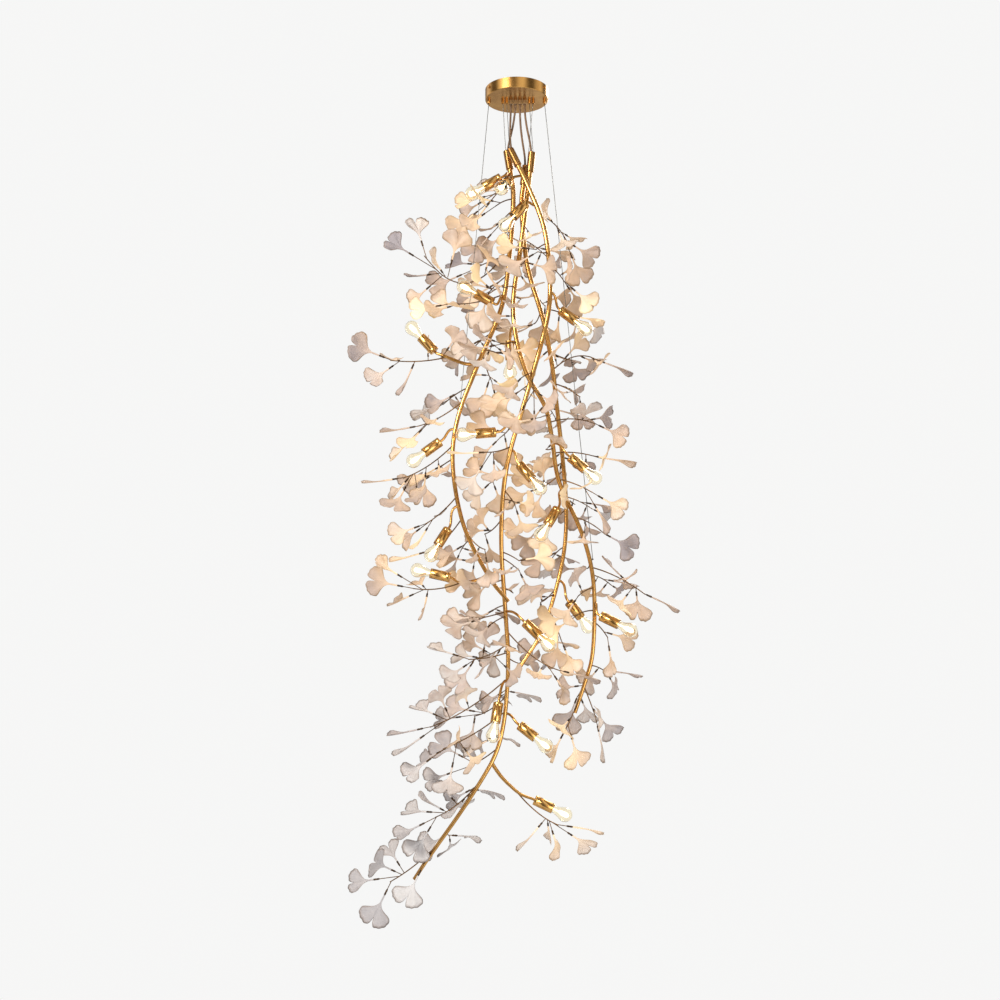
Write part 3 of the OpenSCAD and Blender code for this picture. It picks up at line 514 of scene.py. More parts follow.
stemPlan = {
    "topGirth": 6.0, "tipGirth": 4.5, "steps": 3, "sides": 18, "smoothness": 4,
    "stemA": [(1, -12, -183), (24, -22, -236), (64, -34, -345), (78, -38, -474), (68, -38, -578),
              (20, -40, -753), (-24, -30, -914), (-36, -12, -1074), (-27, 6, -1237), (-20, -10, -1378),
              (-38, -28, -1542), (-97, -28, -1658), (-203, -8, -1812), (-236, 0, -1862)],
    "stemB": [(-17, 14, -182), (-8, 8, -260), (-18, 0, -408), (-36, -8, -528), (-88, -14, -658),
              (-137, -18, -790), (-149, -22, -905), (-123, -28, -1046), (-64, -32, -1165), (-19, -34, -1223)],
    "stemC": [(32, 0, -193), (25, 4, -256), (8, 10, -388), (-8, 10, -506), (-1, 6, -599), (25, 4, -687),
              (67, 0, -763), (83, 0, -838), (100, 4, -941), (154, -6, -1067), (179, -12, -1182),
              (177, -12, -1334), (158, -8, -1411), (135, 0, -1480)],
    "stemD": [(17, 26, -215), (12, 28, -275), (25, 30, -415), (63, 28, -548), (84, 34, -653), (94, 42, -737),
              (111, 50, -893), (118, 48, -1020), (106, 42, -1137), (63, 30, -1283), (8, 20, -1374)],
}
stemLines = {}
for letter in "abcd":
    name = "stem" + letter.upper()
    line = smoothPath(stemPlan[name], stemPlan["steps"]) * mm
    stemLines[name] = line
    girth = np.linspace(stemPlan["topGirth"], stemPlan["tipGirth"], len(line)) * mm
    setTubes(name, [(line, girth)], stemPlan, stemBrass, "stem_brass", "stem_" + letter)

# Each lamp: stem, height where its arm starts, middle of the cup, direction of the bulb
lampPlan = {
    "armGirth": 3.0, "longArmGirth": 4.5, "cupLength": 47, "armSeat": 4, "armStraight": 9, "sides": 12,
    "smoothness": 3, "steps": 2, "points": 9, "rootPull": 0.4, "cupPull": 0.3,
    "rows": [
        ("stemB", -200, (-58, -30, -236), (-0.87, 0, -0.49)), ("stemA", -215, (-22, -62, -246), (-0.25, -0.8, -0.55)),
        ("stemA", -290, (6, -52, -310), (-0.6, -0.3, -0.74)), ("stemB", -500, (-76, -40, -514), (-0.87, -0.2, 0.44)),
        ("stemB", -655, (-208, -26, -620), (-0.69, 0, 0.72)), ("stemA", -500, (121, -30, -554), (0.75, -0.2, -0.63)),
        ("stemC", -560, (-16, 60, -615), (0, 0.2, -0.98)), ("stemA", -800, (-72, -48, -833), (-0.95, -0.15, -0.1)),
        ("stemB", -820, (-197, -30, -864), (-0.8, -0.1, -0.6)), ("stemA", -870, (21, -60, -925), (0.6, -0.3, -0.74)),
        ("stemC", -960, (83, -34, -1026), (-0.5, -0.3, -0.8)), ("stemC", -850, (142, -30, -901), (0.75, -0.1, -0.65)),
        ("stemB", -1000, (-170, -46, -1075), (-0.5, -0.42, -0.84)),
        ("stemA", -1146, (-177, -30, -1162), (-0.97, 0, 0.22)),
        ("stemD", -1170, (137, 25, -1240), (0.6, 0.3, -0.74)),
        ("stemC", -1225, (214, -44, -1266), (0.85, -0.3, -0.43)),
        ("stemA", -1245, (36, -44, -1287), (0.7, -0.2, -0.68)),
        ("stemA", -1405, (-45, -62, -1477), (-0.15, -0.3, -0.94)),
        ("stemA", -1480, (25, -50, -1520), (0.78, -0.2, -0.6)),
        ("stemA", -1592, (62, -40, -1686), (0.9, -0.1, -0.42)),
    ],
    "longWays": {
        4: [(-116, -30, -668), (-166, -30, -650)],
        13: [(-64, 4, -1160), (-100, -6, -1174), (-132, -20, -1177)],
        19: [(-37, -32, -1622), (-13, -35, -1646), (10, -36, -1664)],
    },
}


def stemAt(line, height):  # the point and direction of a stem where it passes a height
    i = next(k for k in range(len(line) - 1) if line[k][2] >= height > line[k + 1][2])
    share = (line[i][2] - height) / (line[i][2] - line[i + 1][2])
    return line[i] + (line[i + 1] - line[i]) * share, unit(line[i + 1] - line[i])


armPaths, mouths, headings = [], [], []
for i, (stem, height, middle, way) in enumerate(lampPlan["rows"]):
    way, middle = unit(np.array(way, float)), np.array(middle) * mm
    end = middle - way * (lampPlan["cupLength"] / 2 - lampPlan["armSeat"]) * mm
    straight = end - way * lampPlan["armStraight"] * mm
    root, down = stemAt(stemLines[stem], height * mm)
    if i in lampPlan["longWays"]:
        between = [np.array(p) * mm for p in lampPlan["longWays"][i]]
        path = np.vstack([smoothPath([root, *between, straight], lampPlan["steps"]), end])
        girth = np.linspace(lampPlan["longArmGirth"], lampPlan["armGirth"], len(path)) * mm
    else:
        reach = np.linalg.norm(end - root)
        out = unit(end - root - down * ((end - root) @ down))
        b, c = root + out * reach * lampPlan["rootPull"], straight - way * reach * lampPlan["cupPull"]
        t = np.linspace(0, 1, lampPlan["points"])[:, None]
        path = root * (1 - t) ** 3 + b * 3 * (1 - t) ** 2 * t + c * 3 * (1 - t) * t ** 2 + straight * t ** 3
        path = np.vstack([path, end])
        girth = lampPlan["armGirth"] * mm
    armPaths.append((path, girth))
    mouths.append(middle + way * lampPlan["cupLength"] / 2 * mm)
    headings.append(way)
setTubes("lampArms", armPaths, lampPlan, stemBrass, "brass", "lamp_arms")


def islandsOf(node):  # the separate solids of a CAD node: their points and triangles
    mesh = cadNodes[node].data
    mesh.calc_loop_triangles()
    points = np.empty(len(mesh.vertices) * 3, np.float32)
    corners = np.empty(len(mesh.loop_triangles) * 3, np.int32)
    mesh.vertices.foreach_get("co", points)
    mesh.loop_triangles.foreach_get("vertices", corners)
    points, index = np.unique(points.reshape(-1, 3), axis=0, return_inverse=True)
    corners = index.ravel()[corners].reshape(-1, 3)
    label, before = np.arange(len(points)), None
    while before is None or (before != label).any():
        before = label.copy()
        low = label[corners].min(1)
        for k in range(3):
            np.minimum.at(label, corners[:, k], low)
        label = label[label]
    return [(points[label == n].astype(float), points[corners[label[corners[:, 0]] == n]].astype(float))
            for n in np.unique(label)]


twigPlan = {"rootGirth": 1.6, "tipGirth": 1.2, "ringGap": 0.0034, "sides": 8, "smoothness": 4}
zones = ["upper_left", "upper_right", "middle_left", "centre", "middle_right", "lower_right", "lower_left", "rear"]
hosts = np.vstack(list(stemLines.values()) + [path for path, _ in armPaths])
hosts = np.vstack([hosts[:-1] + (hosts[1:] - hosts[:-1]) * s for s in np.linspace(0, 0.9, 10)])  # ten to a piece


def camel(words):
    first, *rest = words.split("_")
    return first + "".join(w.capitalize() for w in rest)


def middleLine(points):  # the middles of a tube's rings, from its root on
    rings, left = [], points
    while len(left):
        near = np.linalg.norm(left - left[0], axis=1) < twigPlan["ringGap"]
        rings.append(left[near].mean(0))
        left = left[~near]
    rings = np.array(rings)
    order = [int(np.argmin([np.linalg.norm(hosts - r, axis=1).min() for r in rings]))]
    while len(order) < len(rings):
        away = np.linalg.norm(rings - rings[order[-1]], axis=1)
        away[order] = np.inf
        order.append(int(away.argmin()))
    return rings[order]


twigCount = 0
for zone in zones:
    paths = []
    for points, _ in islandsOf("twigs_" + zone):
        line = middleLine(points)
        paths.append((line, np.linspace(twigPlan["rootGirth"], twigPlan["tipGirth"], len(line)) * mm))
    twigCount += len(paths)
    setTubes(camel("twigs_" + zone), paths, twigPlan, antiqueBrass, "antique_brass", "twigs_" + zone)
print("stems, arms and", twigCount, "sprays made")

stalkPlan = {
    "wireGirth": 1.0, "wireSides": 6, "sleeveGirth": 2.3, "sleeveLength": 14.0, "sides": 12,
    "sleeveRings": 4, "endSlice": 2e-4,
    "waist": [(0, 0.72), (0.26, 1.0), (0.5, 0.86), (0.74, 1.0), (1, 0.9)],  # the sleeve's girth from its wire on
}

# Sprays in the heart of the cluster: stem, height, tip, rise of the wire, leaves as x, y, z, turn, kind
heartPlan = {
    "segments": 5, "wireSeat": 5.5, "neckSeat": 6, "slip": 0.3, "shortest": 9, "wanted": 18, "tipShare": 0.97,
    "leastRoom": 0.2, "neckLength": 28, "fanRadius": 52, "leafSize": [1, 0.86, 1],
    "rows": [
        ("stemB", -262, (-50, -40, -296), 4, [(-88, -102, -298, 20, 0), (-108, -84, -352, 10, 1)]),
        ("stemB", -470, (-70, 16, -492), 2, [
            (-96, -44, -462, 30, 1), (-112, 40, -456, 40, 0), (-84, 50, -532, 10, 0)]),
        ("stemC", -474, (-26, -44, -490), 2, [(-56, -104, -500, 10, 0)]),
        ("stemD", -470, (70, 84, -500), -6, [(30, 112, -470, 30, 1), (116, 96, -470, 60, 1), (66, 116, -560, 10, 0)]),
        ("stemC", -545, (-4, -46, -560), 2, [(-52, -84, -568, 20, 1), (-6, -96, -600, 0, 0)]),
        ("stemB", -640, (-60, 62, -690), -6, [
            (-112, 84, -668, 20, 1), (-30, 126, -692, 20, 0), (-86, 84, -744, 10, 0), (-44, 100, -748, 30, 1)]),
        ("stemA", -775, (-40, 40, -830), -8, [
            (-4, 76, -786, 10, 1), (-92, 30, -800, 10, 0), (-20, 90, -862, 20, 0), (-84, 74, -868, 30, 1)]),
        ("stemA", -895, (-66, 42, -940), -8, [
            (-26, 60, -914, 20, 1), (-104, 20, -908, 20, 1), (-40, 96, -976, 10, 0), (-100, 68, -970, 0, 1)]),
        ("stemD", -905, (46, 66, -950), -8, [
            (62, 26, -900, 20, 1), (20, 100, -916, 20, 0), (40, 40, -1004, 10, 0), (10, 50, -966, 30, 1)]),
        ("stemD", -1000, (40, 84, -1040), -8, [
            (74, 110, -1010, 40, 1), (20, 120, -1080, 10, 0), (62, 40, -1086, 10, 0), (0, 70, -1046, 20, 1)]),
        ("stemA", -1030, (-76, 20, -1062), -6, [
            (-84, -30, -1032, 20, 1), (-106, 50, -1052, 10, 1), (-60, 70, -1110, 20, 1)]),
        ("stemA", -1106, (6, -54, -1130), 2, [(58, -72, -1122, 20, 0)]),
        ("stemD", -1184, (56, 60, -1222), -6, [(22, 84, -1206, 20, 1), (60, 96, -1262, 10, 0)]),
        ("stemD", -1204, (58, -16, -1222), 2, [(54, -62, -1206, 10, 1)]),
        ("stemA", -1320, (-100, 30, -1356), -6, [
            (-110, -20, -1316, 30, 1), (-70, 18, -1288, 20, 1), (-60, 66, -1364, 20, 0), (-134, 66, -1346, 20, 1),
            (-136, 44, -1412, 10, 0)]),
        ("stemA", -1440, (-100, 36, -1490), -8, [
            (-150, 40, -1470, 20, 1), (-178, 82, -1500, 30, 1), (-104, 34, -1528, 10, 1)]),
        ("stemC", -1400, (142, 44, -1446), -4, [
            (112, 64, -1424, 20, 1), (170, 70, -1490, 30, 1), (122, 66, -1502, 10, 0)]),
        ("stemB", -236, (-64, 44, -244), 6, [(-84, 84, -214, 20, 0), (-124, 96, -262, 20, 1)]),
        ("stemB", -400, (-110, 60, -420), 4, [(-150, 96, -390, 20, 1), (-190, 70, -452, 10, 0)]),
        ("stemC", -500, (10, -50, -520), 2, [(-4, -110, -552, 10, 1)]),
        ("stemA", -690, (10, -84, -712), 2, [(-10, -104, -738, 10, 0)]),
        ("stemA", -985, (-4, -66, -996), 2, [(30, -120, -1006, 10, 1)]),
        ("stemA", -1256, (-60, -40, -1276), 2, [(-84, -78, -1300, 10, 0)]),
        ("stemA", -1560, (-120, 30, -1610), -4, [(-176, 50, -1560, 20, 0), (-200, 60, -1640, 20, 1)]),
        ("stemA", -1352, (6, 30, -1366), -2, [(40, 76, -1362, 10, 1)]),
    ],
}


def shareOn(path, share):
    x = share * (len(path) - 1)
    i = min(int(x), len(path) - 2)
    return path[i] + (path[i + 1] - path[i]) * (x - i)


heartTwigs, heartStalks, heartFaces, heartKinds = [], [], [], []


def heartSpray(stem, height, tip, rise, leaves):  # its wire, and each leaf's stalk, facing direction and kind
    root, tip = stemAt(stemLines[stem], height * mm)[0], np.array(tip) * mm
    t = np.linspace(0, 1, heartPlan["segments"] + 1)[:, None]
    middle = (root + tip) / 2 + np.array([0, 0, 2 * rise * mm])
    path = root * (1 - t) ** 2 + middle * 2 * t * (1 - t) + tip * t ** 2
    seats = []
    for k, (*target, turn, kind) in enumerate(leaves):
        target = np.array(target) * mm
        neckStart = stalkPlan["sleeveLength"] - heartPlan["wireSeat"] - heartPlan["neckSeat"] + heartPlan["slip"]
        leafLength = heartPlan["neckLength"] + heartPlan["fanRadius"] / 2
        reach = (neckStart + heartPlan["leafSize"][kind] * leafLength) * mm
        shares = [(j + 0.5 + k / len(leaves)) / heartPlan["segments"] for j in range(heartPlan["segments"] - 1)]
        wanted = reach + heartPlan["wanted"] * mm
        share = min(shares, key=lambda u: abs(np.linalg.norm(target - shareOn(path, u)) - wanted))
        start = shareOn(path, heartPlan["tipShare"] if k == len(leaves) - 1 else share)
        way = unit(target - start)
        wire = max(heartPlan["shortest"] * mm, np.linalg.norm(target - start) - reach)
        room = np.array([0, -1, 0]) - way * -way[1]  # to the front, or up where the leaf itself points forward
        if np.linalg.norm(room) <= heartPlan["leastRoom"]:
            room = np.array([0, 0, 1]) - way * way[2]
        room = unit(room)
        turn = math.radians(turn)
        top = start + way * (wire + (stalkPlan["sleeveLength"] - heartPlan["wireSeat"]) * mm)
        seats.append((start, top, room * math.cos(turn) + np.cross(way, room) * math.sin(turn), kind))
    return path, seats


def keepSpray(path, seats):
    heartTwigs.append((path, np.linspace(twigPlan["rootGirth"], twigPlan["tipGirth"], len(path)) * mm))
    for start, top, face, kind in seats:
        heartStalks.append((start, top))
        heartFaces.append(face)
        heartKinds.append(kind)


for row in heartPlan["rows"]:
    keepSpray(*heartSpray(*row))


# Stalks: the side wire and dark sleeve of each leaf

stalkTree, given, result = geometryTree("leafStalks", {
    "Sleeve Radius": 0.003, "Sleeve Length": 0.014, "Sides": 12, "Wire Material": "Material",
    "Sleeve Material": "Material"})
t = stalkTree
wireGroup = addNode(t, "GeometryNodeGroup", {"Geometry": given["Geometry"]}, node_tree=tubeTree)
feed(t, wireGroup.inputs["Sides"], stalkPlan["wireSides"])
feed(t, wireGroup.inputs["Smoothness"], 1)
feed(t, wireGroup.inputs["Material"], given["Wire Material"])
tube = flow(t, "GeometryNodeMeshCylinder", {
    "Vertices": given["Sides"], "Side Segments": stalkPlan["sleeveRings"], "Radius": given["Sleeve Radius"],
    "Depth": given["Sleeve Length"]}, fill_type="TRIANGLE_FAN")
spotParts = partsOf(t, flow(t, "GeometryNodeInputPosition"))
run = calc(t, "DIVIDE", spotParts[2], given["Sleeve Length"])
waist = shapedBy(t, plus(t, run, 0.5), stalkPlan["waist"])
tube = flow(t, "GeometryNodeSetPosition", {0: tube, "Position": vectorOf(
    t, times(t, spotParts[0], waist), times(t, spotParts[1], waist), spotParts[2])})
tube = flow(t, "GeometryNodeSetShadeSmooth", {0: tube})
isEnd = stored(t, "sleeveEnd", "BOOLEAN")
sleeveWay = stored(t, "way", "FLOAT_VECTOR")
aim = flow(t, "FunctionNodeAlignRotationToVector", {"Vector": sleeveWay}, axis="Z")
sleeves = flow(t, "GeometryNodeInstanceOnPoints", {
    "Points": given["Geometry"], "Selection": isEnd, "Instance": tube, "Rotation": aim})
sleeves = flow(t, "GeometryNodeRealizeInstances", {0: sleeves})
sleeves = flow(t, "GeometryNodeSetMaterial", {0: sleeves, "Material": given["Sleeve Material"]})
joined = addNode(t, "GeometryNodeJoinGeometry")
t.links.new(sleeves, joined.inputs[0])
t.links.new(wireGroup.outputs[0], joined.inputs[0])
t.links.new(joined.outputs[0], result[0])


def stalkEnds(points):  # the wire's start and the middle of the sleeve's mouth
    centre = points.mean(0)
    way = np.linalg.svd(points - centre, full_matrices=False)[2][0]
    t = (points - centre) @ way
    ends = [points[t < t.min() + stalkPlan["endSlice"]], points[t > t.max() - stalkPlan["endSlice"]]]
    ends.sort(key=lambda e: np.linalg.norm(e - e.mean(0), axis=1).max())
    return ends[0].mean(0), ends[1].mean(0)


def setStalks(name, ends, *replaced):
    lines = [(np.array([start, top - unit(top - start) * stalkPlan["sleeveLength"] / 2 * mm]),
              stalkPlan["wireGirth"] * mm) for start, top in ends]
    mesh = pathMesh("stalkLines", lines)
    mark(mesh, "sleeveEnd", "BOOLEAN", [False, True] * len(ends))
    mark(mesh, "way", "FLOAT_VECTOR", np.repeat([unit(top - start) for start, top in ends], 2, axis=0))
    made = grow(name, stalkTree, mesh, **{
        "Sleeve Radius": stalkPlan["sleeveGirth"] * mm, "Sleeve Length": stalkPlan["sleeveLength"] * mm,
        "Sides": stalkPlan["sides"], "Wire Material": antiqueBrass, "Sleeve Material": darkSleeve})
    setPiece(name, made, "cluster", "dark_metal", *replaced)


stalks = []
for group in ["upper", "middle", "lower", "rear"]:
    ends = [stalkEnds(points) for points, _ in islandsOf("leaf_stalks_" + group)]
    stalks += ends
    setStalks(camel("leaf_stalks_" + group), ends, "leaf_stalks_" + group)
print(len(stalks), "stalks made")

# The leaves: kinds, thickness, seat and ruffle in millimetres, the tree's own small lengths in metres
leafPlan = {
    "columns": 41, "rows": 9, "thickness": 2.0, "rootThickening": 0.0012, "rootWidth": 0.0021, "rootDip": 0.003,
    "sleeveSeat": 5.7, "ruffle": 2.4, "narrowRuffle": 0.4, "teeth": 0.014, "teethCount": 26.0, "waveCount": 9.0,
    "bendFrom": 0.004, "neckGirth": 0.0024, "neckOverlap": 0.008, "neckSides": 10, "neckRings": 6,
    "weld": 0.00001, "edgePower": 1.2, "sidePower": 8.0, "tipPower": 9.0, "rootPower": 4.0,
    "radiusVary": 0.03, "spreadVary": 0.05, "bendVary": 0.2, "cupVary": 0.12, "phaseRange": 3.1, "tiltRange": 0.1,
    "variantsEach": 4, "seed": 11, "openWidth": 0.068, "cuppedWidth": 0.045, "toneMiddle": 0.46, "toneRange": 0.3,
    "boxMargin": 1e-4,
    "lobes": [(0, 0.95), (0.12, 0.985), (0.4, 1.0), (0.72, 0.965), (0.9, 0.88), (1, 0.76)],
    "notch": [(0, 1), (0.04, 0.62), (0.1, 0.22), (0.18, 0.04), (0.3, 0.0), (1, 0)],
    "widening": [(0, 0.3), (0.3, 0.6), (0.6, 0.86), (0.85, 0.98), (1, 1)],
    "neckTaper": [(0, 0.68), (0.2, 0.76), (0.4, 0.82), (0.72, 0.8), (1, 0.3)],
    # radius, spread in degrees, cleft, bend across and along the neck, neck length
    "kinds": [(52, 60, 0.36, 15.0, 2.0, 28), (44.7, 56, 0.28, 0.5, 23.0, 24.1), (52, 21.6, -0.04, 2.0, 50.0, 28)],
}

# Painted lamp glow: where the cluster's leaves are tinted and made to glow as if lit by the bulbs, and where they are
# pale below them
glowPlan = {
    "bulbReach": 0.095, "bulbMiddle": 0.028, "middle": 0.02, "drift": -0.12, "depth": 0.7, "heartReach": 0.13,
    "heartHeight": 0.6, "heartGlowShare": 0.55, "coolFrom": -1.35, "coolOver": 0.35,
}


def offMiddle(place):  # sideways distance from the cluster's slanting middle line
    return place[..., 0] - glowPlan["middle"] + glowPlan["drift"] * (place[..., 2] + glowPlan["depth"])


# Further sprays, which a rule sets where the heart still has room
fillPlan = {
    "seed": 7, "tries": 2600, "sprays": 24, "top": -300, "bottom": -1330, "cup": -50, "travel": 85,
    "wire": (30, 66), "leafReach": 74, "fall": -0.25, "turns": (-52, 0, 52), "front": -104, "rear": 165,
    "halfWidth": 150, "topWidth": 40, "widening": 0.25, "widensFrom": -200, "step": 5, "rises": (-6, 4),
    "lift": 0.65, "leastTurn": 10, "turnRange": 40, "cuppedFrom": 0.6,
    "bladeFrom": 0.15, "bladeRows": 6, "bladeColumns": 9, "leafRoom": 7, "wireRoom": 3.5, "bulbRoom": 23,
    "betweenLeaves": 9, "rootFree": 14,
}
fillDice = np.random.default_rng(fillPlan["seed"])


def solidsTree():  # every CAD triangle, to measure distances to
    points, corners, count = [], [], 0
    for node in cadNodes.values():
        mesh = node.data
        mesh.calc_loop_triangles()
        points += [tuple(v.co) for v in mesh.vertices]
        corners += [tuple(count + i for i in t.vertices) for t in mesh.loop_triangles]
        count += len(mesh.vertices)
    return BVHTree.FromPolygons(points, corners)


def alongLine(a, b):
    return a + (b - a) * np.linspace(0, 1, max(2, int(np.linalg.norm(b - a) / (fillPlan["step"] * mm))))[:, None]


def bladePoints(top, way, face, kind):  # points all over a leaf, as it bends
    radius, angle, _, curl, cup, neck = leafPlan["kinds"][kind]
    r, a = np.meshgrid(np.linspace(fillPlan["bladeFrom"], 1, fillPlan["bladeRows"]) * radius * mm,
                       np.radians(np.linspace(-angle, angle, fillPlan["bladeColumns"])))
    y, z = (r * np.sin(a)).ravel(), (r * np.cos(a)).ravel()
    x = curl / 2 * np.maximum(z - leafPlan["bendFrom"], 0) ** 2 + cup / 2 * y ** 2
    root = top - way * leafPlan["sleeveSeat"] * mm
    return root + np.outer(neck * mm + z, way) + np.outer(y, np.cross(way, face)) + np.outer(x, face)


def clearOfBulbs(points, room):  # also while a bulb slides out
    for mouth, way in zip(mouths, headings):
        t = np.clip((points - mouth) @ way, fillPlan["cup"] * mm, fillPlan["travel"] * mm)
        if np.linalg.norm(points - mouth - np.outer(t, way), axis=1).min() < room * mm:
            return False
    return True


def isClear(points, room, between):
    return (clearOfBulbs(points, fillPlan["bulbRoom"])
            and np.linalg.norm(taken[None, ::2] - points[:, None], axis=2).min() > between * mm
            and all(solids.find_nearest(p, room * mm)[0] is None for p in points))


def insideHeart(point):
    width = fillPlan["topWidth"] + fillPlan["widening"] * (fillPlan["widensFrom"] - point[2] / mm)
    return (abs(offMiddle(point)) < min(fillPlan["halfWidth"], width) * mm
            and fillPlan["front"] < point[1] / mm < fillPlan["rear"])


def spaceOf(path, seats):  # points along a spray's wires and over its leaves
    parts = [alongLine(a, b) for a, b in zip(path, path[1:])]
    for start, top, face, kind in seats:
        parts += [alongLine(start, top), bladePoints(top, unit(top - start), face, kind)]
    return np.vstack(parts)


solids = solidsTree()
taken = np.vstack([spaceOf(*heartSpray(*row)) for row in heartPlan["rows"]])
added = 0
for _ in range(fillPlan["tries"]):
    stem = list(stemLines)[fillDice.integers(len(stemLines))]
    height = fillDice.uniform(fillPlan["bottom"], fillPlan["top"])
    azimuth, wire = fillDice.uniform(0, 2 * math.pi), fillDice.uniform(*fillPlan["wire"])
    rise = fillDice.uniform(*fillPlan["rises"])
    looks = fillDice.uniform(0, 1, 6)
    line = stemLines[stem]
    if added == fillPlan["sprays"] or not line[0][2] > height * mm > line[-1][2]:
        continue
    root = stemAt(line, height * mm)[0]
    tip = root + unit(np.array([math.cos(azimuth), math.sin(azimuth), fillPlan["fall"]])) * wire * mm
    leaves = []
    for k, turn in enumerate(fillPlan["turns"]):
        a = azimuth + math.radians(turn)
        out = np.array([math.cos(a), math.sin(a), looks[k] - fillPlan["lift"]])
        target = tip + unit(out) * fillPlan["leafReach"] * mm
        if insideHeart(target):
            leaves.append((*(target / mm), fillPlan["leastTurn"] + fillPlan["turnRange"] * looks[k + 3],
                           int(looks[k] > fillPlan["cuppedFrom"])))
    if not leaves:
        continue
    path, seats = heartSpray(stem, height, tip / mm, rise, leaves)
    away = spaceOf(path, [])
    away = away[np.linalg.norm(away - root, axis=1) > fillPlan["rootFree"] * mm]
    if not isClear(away, fillPlan["wireRoom"], fillPlan["wireRoom"]):
        continue
    fits = [isClear(alongLine(start, top), fillPlan["wireRoom"], fillPlan["wireRoom"])
            and isClear(bladePoints(top, unit(top - start), face, kind),
                        fillPlan["leafRoom"], fillPlan["betweenLeaves"])
            for start, top, face, kind in seats]
    if fits[-1]:
        seats = [seat for seat, fit in zip(seats, fits) if fit]
        keepSpray(path, seats)
        taken = np.vstack([taken, spaceOf(path, seats)])
        added += 1
print("the rule added", added, "sprays")
setStalks("heartStalks", heartStalks)
setTubes("heartTwigs", heartTwigs, twigPlan, antiqueBrass, "antique_brass")
print(len(heartTwigs), "sprays and", len(heartKinds), "leaves in the heart")


# Porcelain leaves: a fan sheet made thick, bent and ruffled, on its neck

leafTree, given, result = geometryTree("porcelainLeaf", {
    "Radius": 0.052, "Spread": 1.05, "Cleft": 0.36, "Curl": 15.0, "Cup": 0.0, "Neck Length": 0.028,
    "Ruffle": 0.0015, "Teeth": 0.01, "Phase": 0.0, "Lobe Tilt": 0.0, "Thickness": 0.002,
    "Columns": 27, "Rows": 9, "Material": "Material"})
t = leafTree
sheet = flow(t, "GeometryNodeMeshGrid", {
    "Size X": 2.0, "Size Y": 1.0, "Vertices X": given["Columns"], "Vertices Y": given["Rows"]})
flat = partsOf(t, flow(t, "GeometryNodeInputPosition"))
edgeShare = calc(t, "POWER", calc(t, "ABSOLUTE", flat[0]), leafPlan["edgePower"])
u = times(t, calc(t, "SIGN", flat[0]), edgeShare)  # across the leaf
v = plus(t, flat[1], 0.5)  # from its root out
rootward = minus(t, 1.0, v)


def waveAcross(count):
    return calc(t, "SINE", plus(t, times(t, u, count), given["Phase"]))


lobes, notch = shapedBy(t, edgeShare, leafPlan["lobes"]), shapedBy(t, edgeShare, leafPlan["notch"])
teeth = times(t, waveAcross(leafPlan["teethCount"]), given["Teeth"])
rim = plus(t, minus(t, lobes, times(t, notch, given["Cleft"])), teeth)
angle = times(t, u, given["Spread"], shapedBy(t, v, leafPlan["widening"]))
reach = times(t, given["Radius"], v, rim)
y = plus(t, times(t, reach, calc(t, "SINE", angle)), times(t, u, leafPlan["rootWidth"], rootward))
z = minus(t, times(t, reach, calc(t, "COSINE", angle)), times(t, rootward, leafPlan["rootDip"]))
lean = calc(t, "POWER", calc(t, "MAXIMUM", minus(t, z, leafPlan["bendFrom"]), 0.0), 2.0)
bend = plus(t, times(t, lean, given["Curl"], 0.5), times(t, calc(t, "POWER", y, 2.0), given["Cup"], 0.5))
ripple = times(t, waveAcross(leafPlan["waveCount"]), given["Ruffle"], calc(t, "POWER", v, 2.0))
x = plus(t, bend, ripple, times(t, y, given["Lobe Tilt"], v))
sheet = storedOn(t, sheet, "fan", vectorOf(t, u, v, 0.0))
sheet = flow(t, "GeometryNodeSetPosition", {
    0: sheet, "Position": vectorOf(t, x, y, plus(t, z, given["Neck Length"]))})
fan = partsOf(t, stored(t, "fan", "FLOAT_VECTOR"))


def roundedOff(value, power):  # one, and falling to nothing at the edge
    return calc(t, "SQRT", calc(t, "MAXIMUM", minus(t, 1.0, calc(t, "POWER", value, power)), 0.0))


thickened = times(t, calc(t, "POWER", minus(t, 1.0, fan[1]), leafPlan["rootPower"]), leafPlan["rootThickening"])
thin = times(t, roundedOff(calc(t, "ABSOLUTE", fan[0]), leafPlan["sidePower"]),
             roundedOff(fan[1], leafPlan["tipPower"]))
half = times(t, plus(t, given["Thickness"], thickened), thin, 0.5)
normal = flow(t, "GeometryNodeInputNormal")


def offsetSheet(distance):
    offset = flow(t, "ShaderNodeVectorMath", {0: normal, "Scale": distance}, operation="SCALE")
    return flow(t, "GeometryNodeSetPosition", {0: sheet, "Offset": offset})


front = offsetSheet(half)
back = offsetSheet(times(t, half, -1.0))
back = flow(t, "GeometryNodeFlipFaces", {0: back})
shell = addNode(t, "GeometryNodeJoinGeometry")
t.links.new(front, shell.inputs[0])
t.links.new(back, shell.inputs[0])
blade = flow(t, "GeometryNodeMergeByDistance", {0: shell.outputs[0], "Distance": leafPlan["weld"]})
neckEnd = vectorOf(t, 0.0, 0.0, plus(t, given["Neck Length"], leafPlan["neckOverlap"]))
neckLine = flow(t, "GeometryNodeCurvePrimitiveLine", {"Start": (0, 0, 0), "End": neckEnd})
neckLine = flow(t, "GeometryNodeResampleCurve", {0: neckLine, "Count": leafPlan["neckRings"]})
neckShape = shapedBy(t, flow(t, "GeometryNodeSplineParameter"), leafPlan["neckTaper"])
neckRadius = times(t, neckShape, leafPlan["neckGirth"])
neckLine = flow(t, "GeometryNodeSetCurveRadius", {"Curve": neckLine, "Radius": neckRadius})
neck = flow(t, "GeometryNodeCurveToMesh", {
    "Curve": neckLine, "Fill Caps": True, "Scale": flow(t, "GeometryNodeInputRadius"),
    "Profile Curve": flow(t, "GeometryNodeCurvePrimitiveCircle", {
        "Resolution": leafPlan["neckSides"], "Radius": 1.0})})
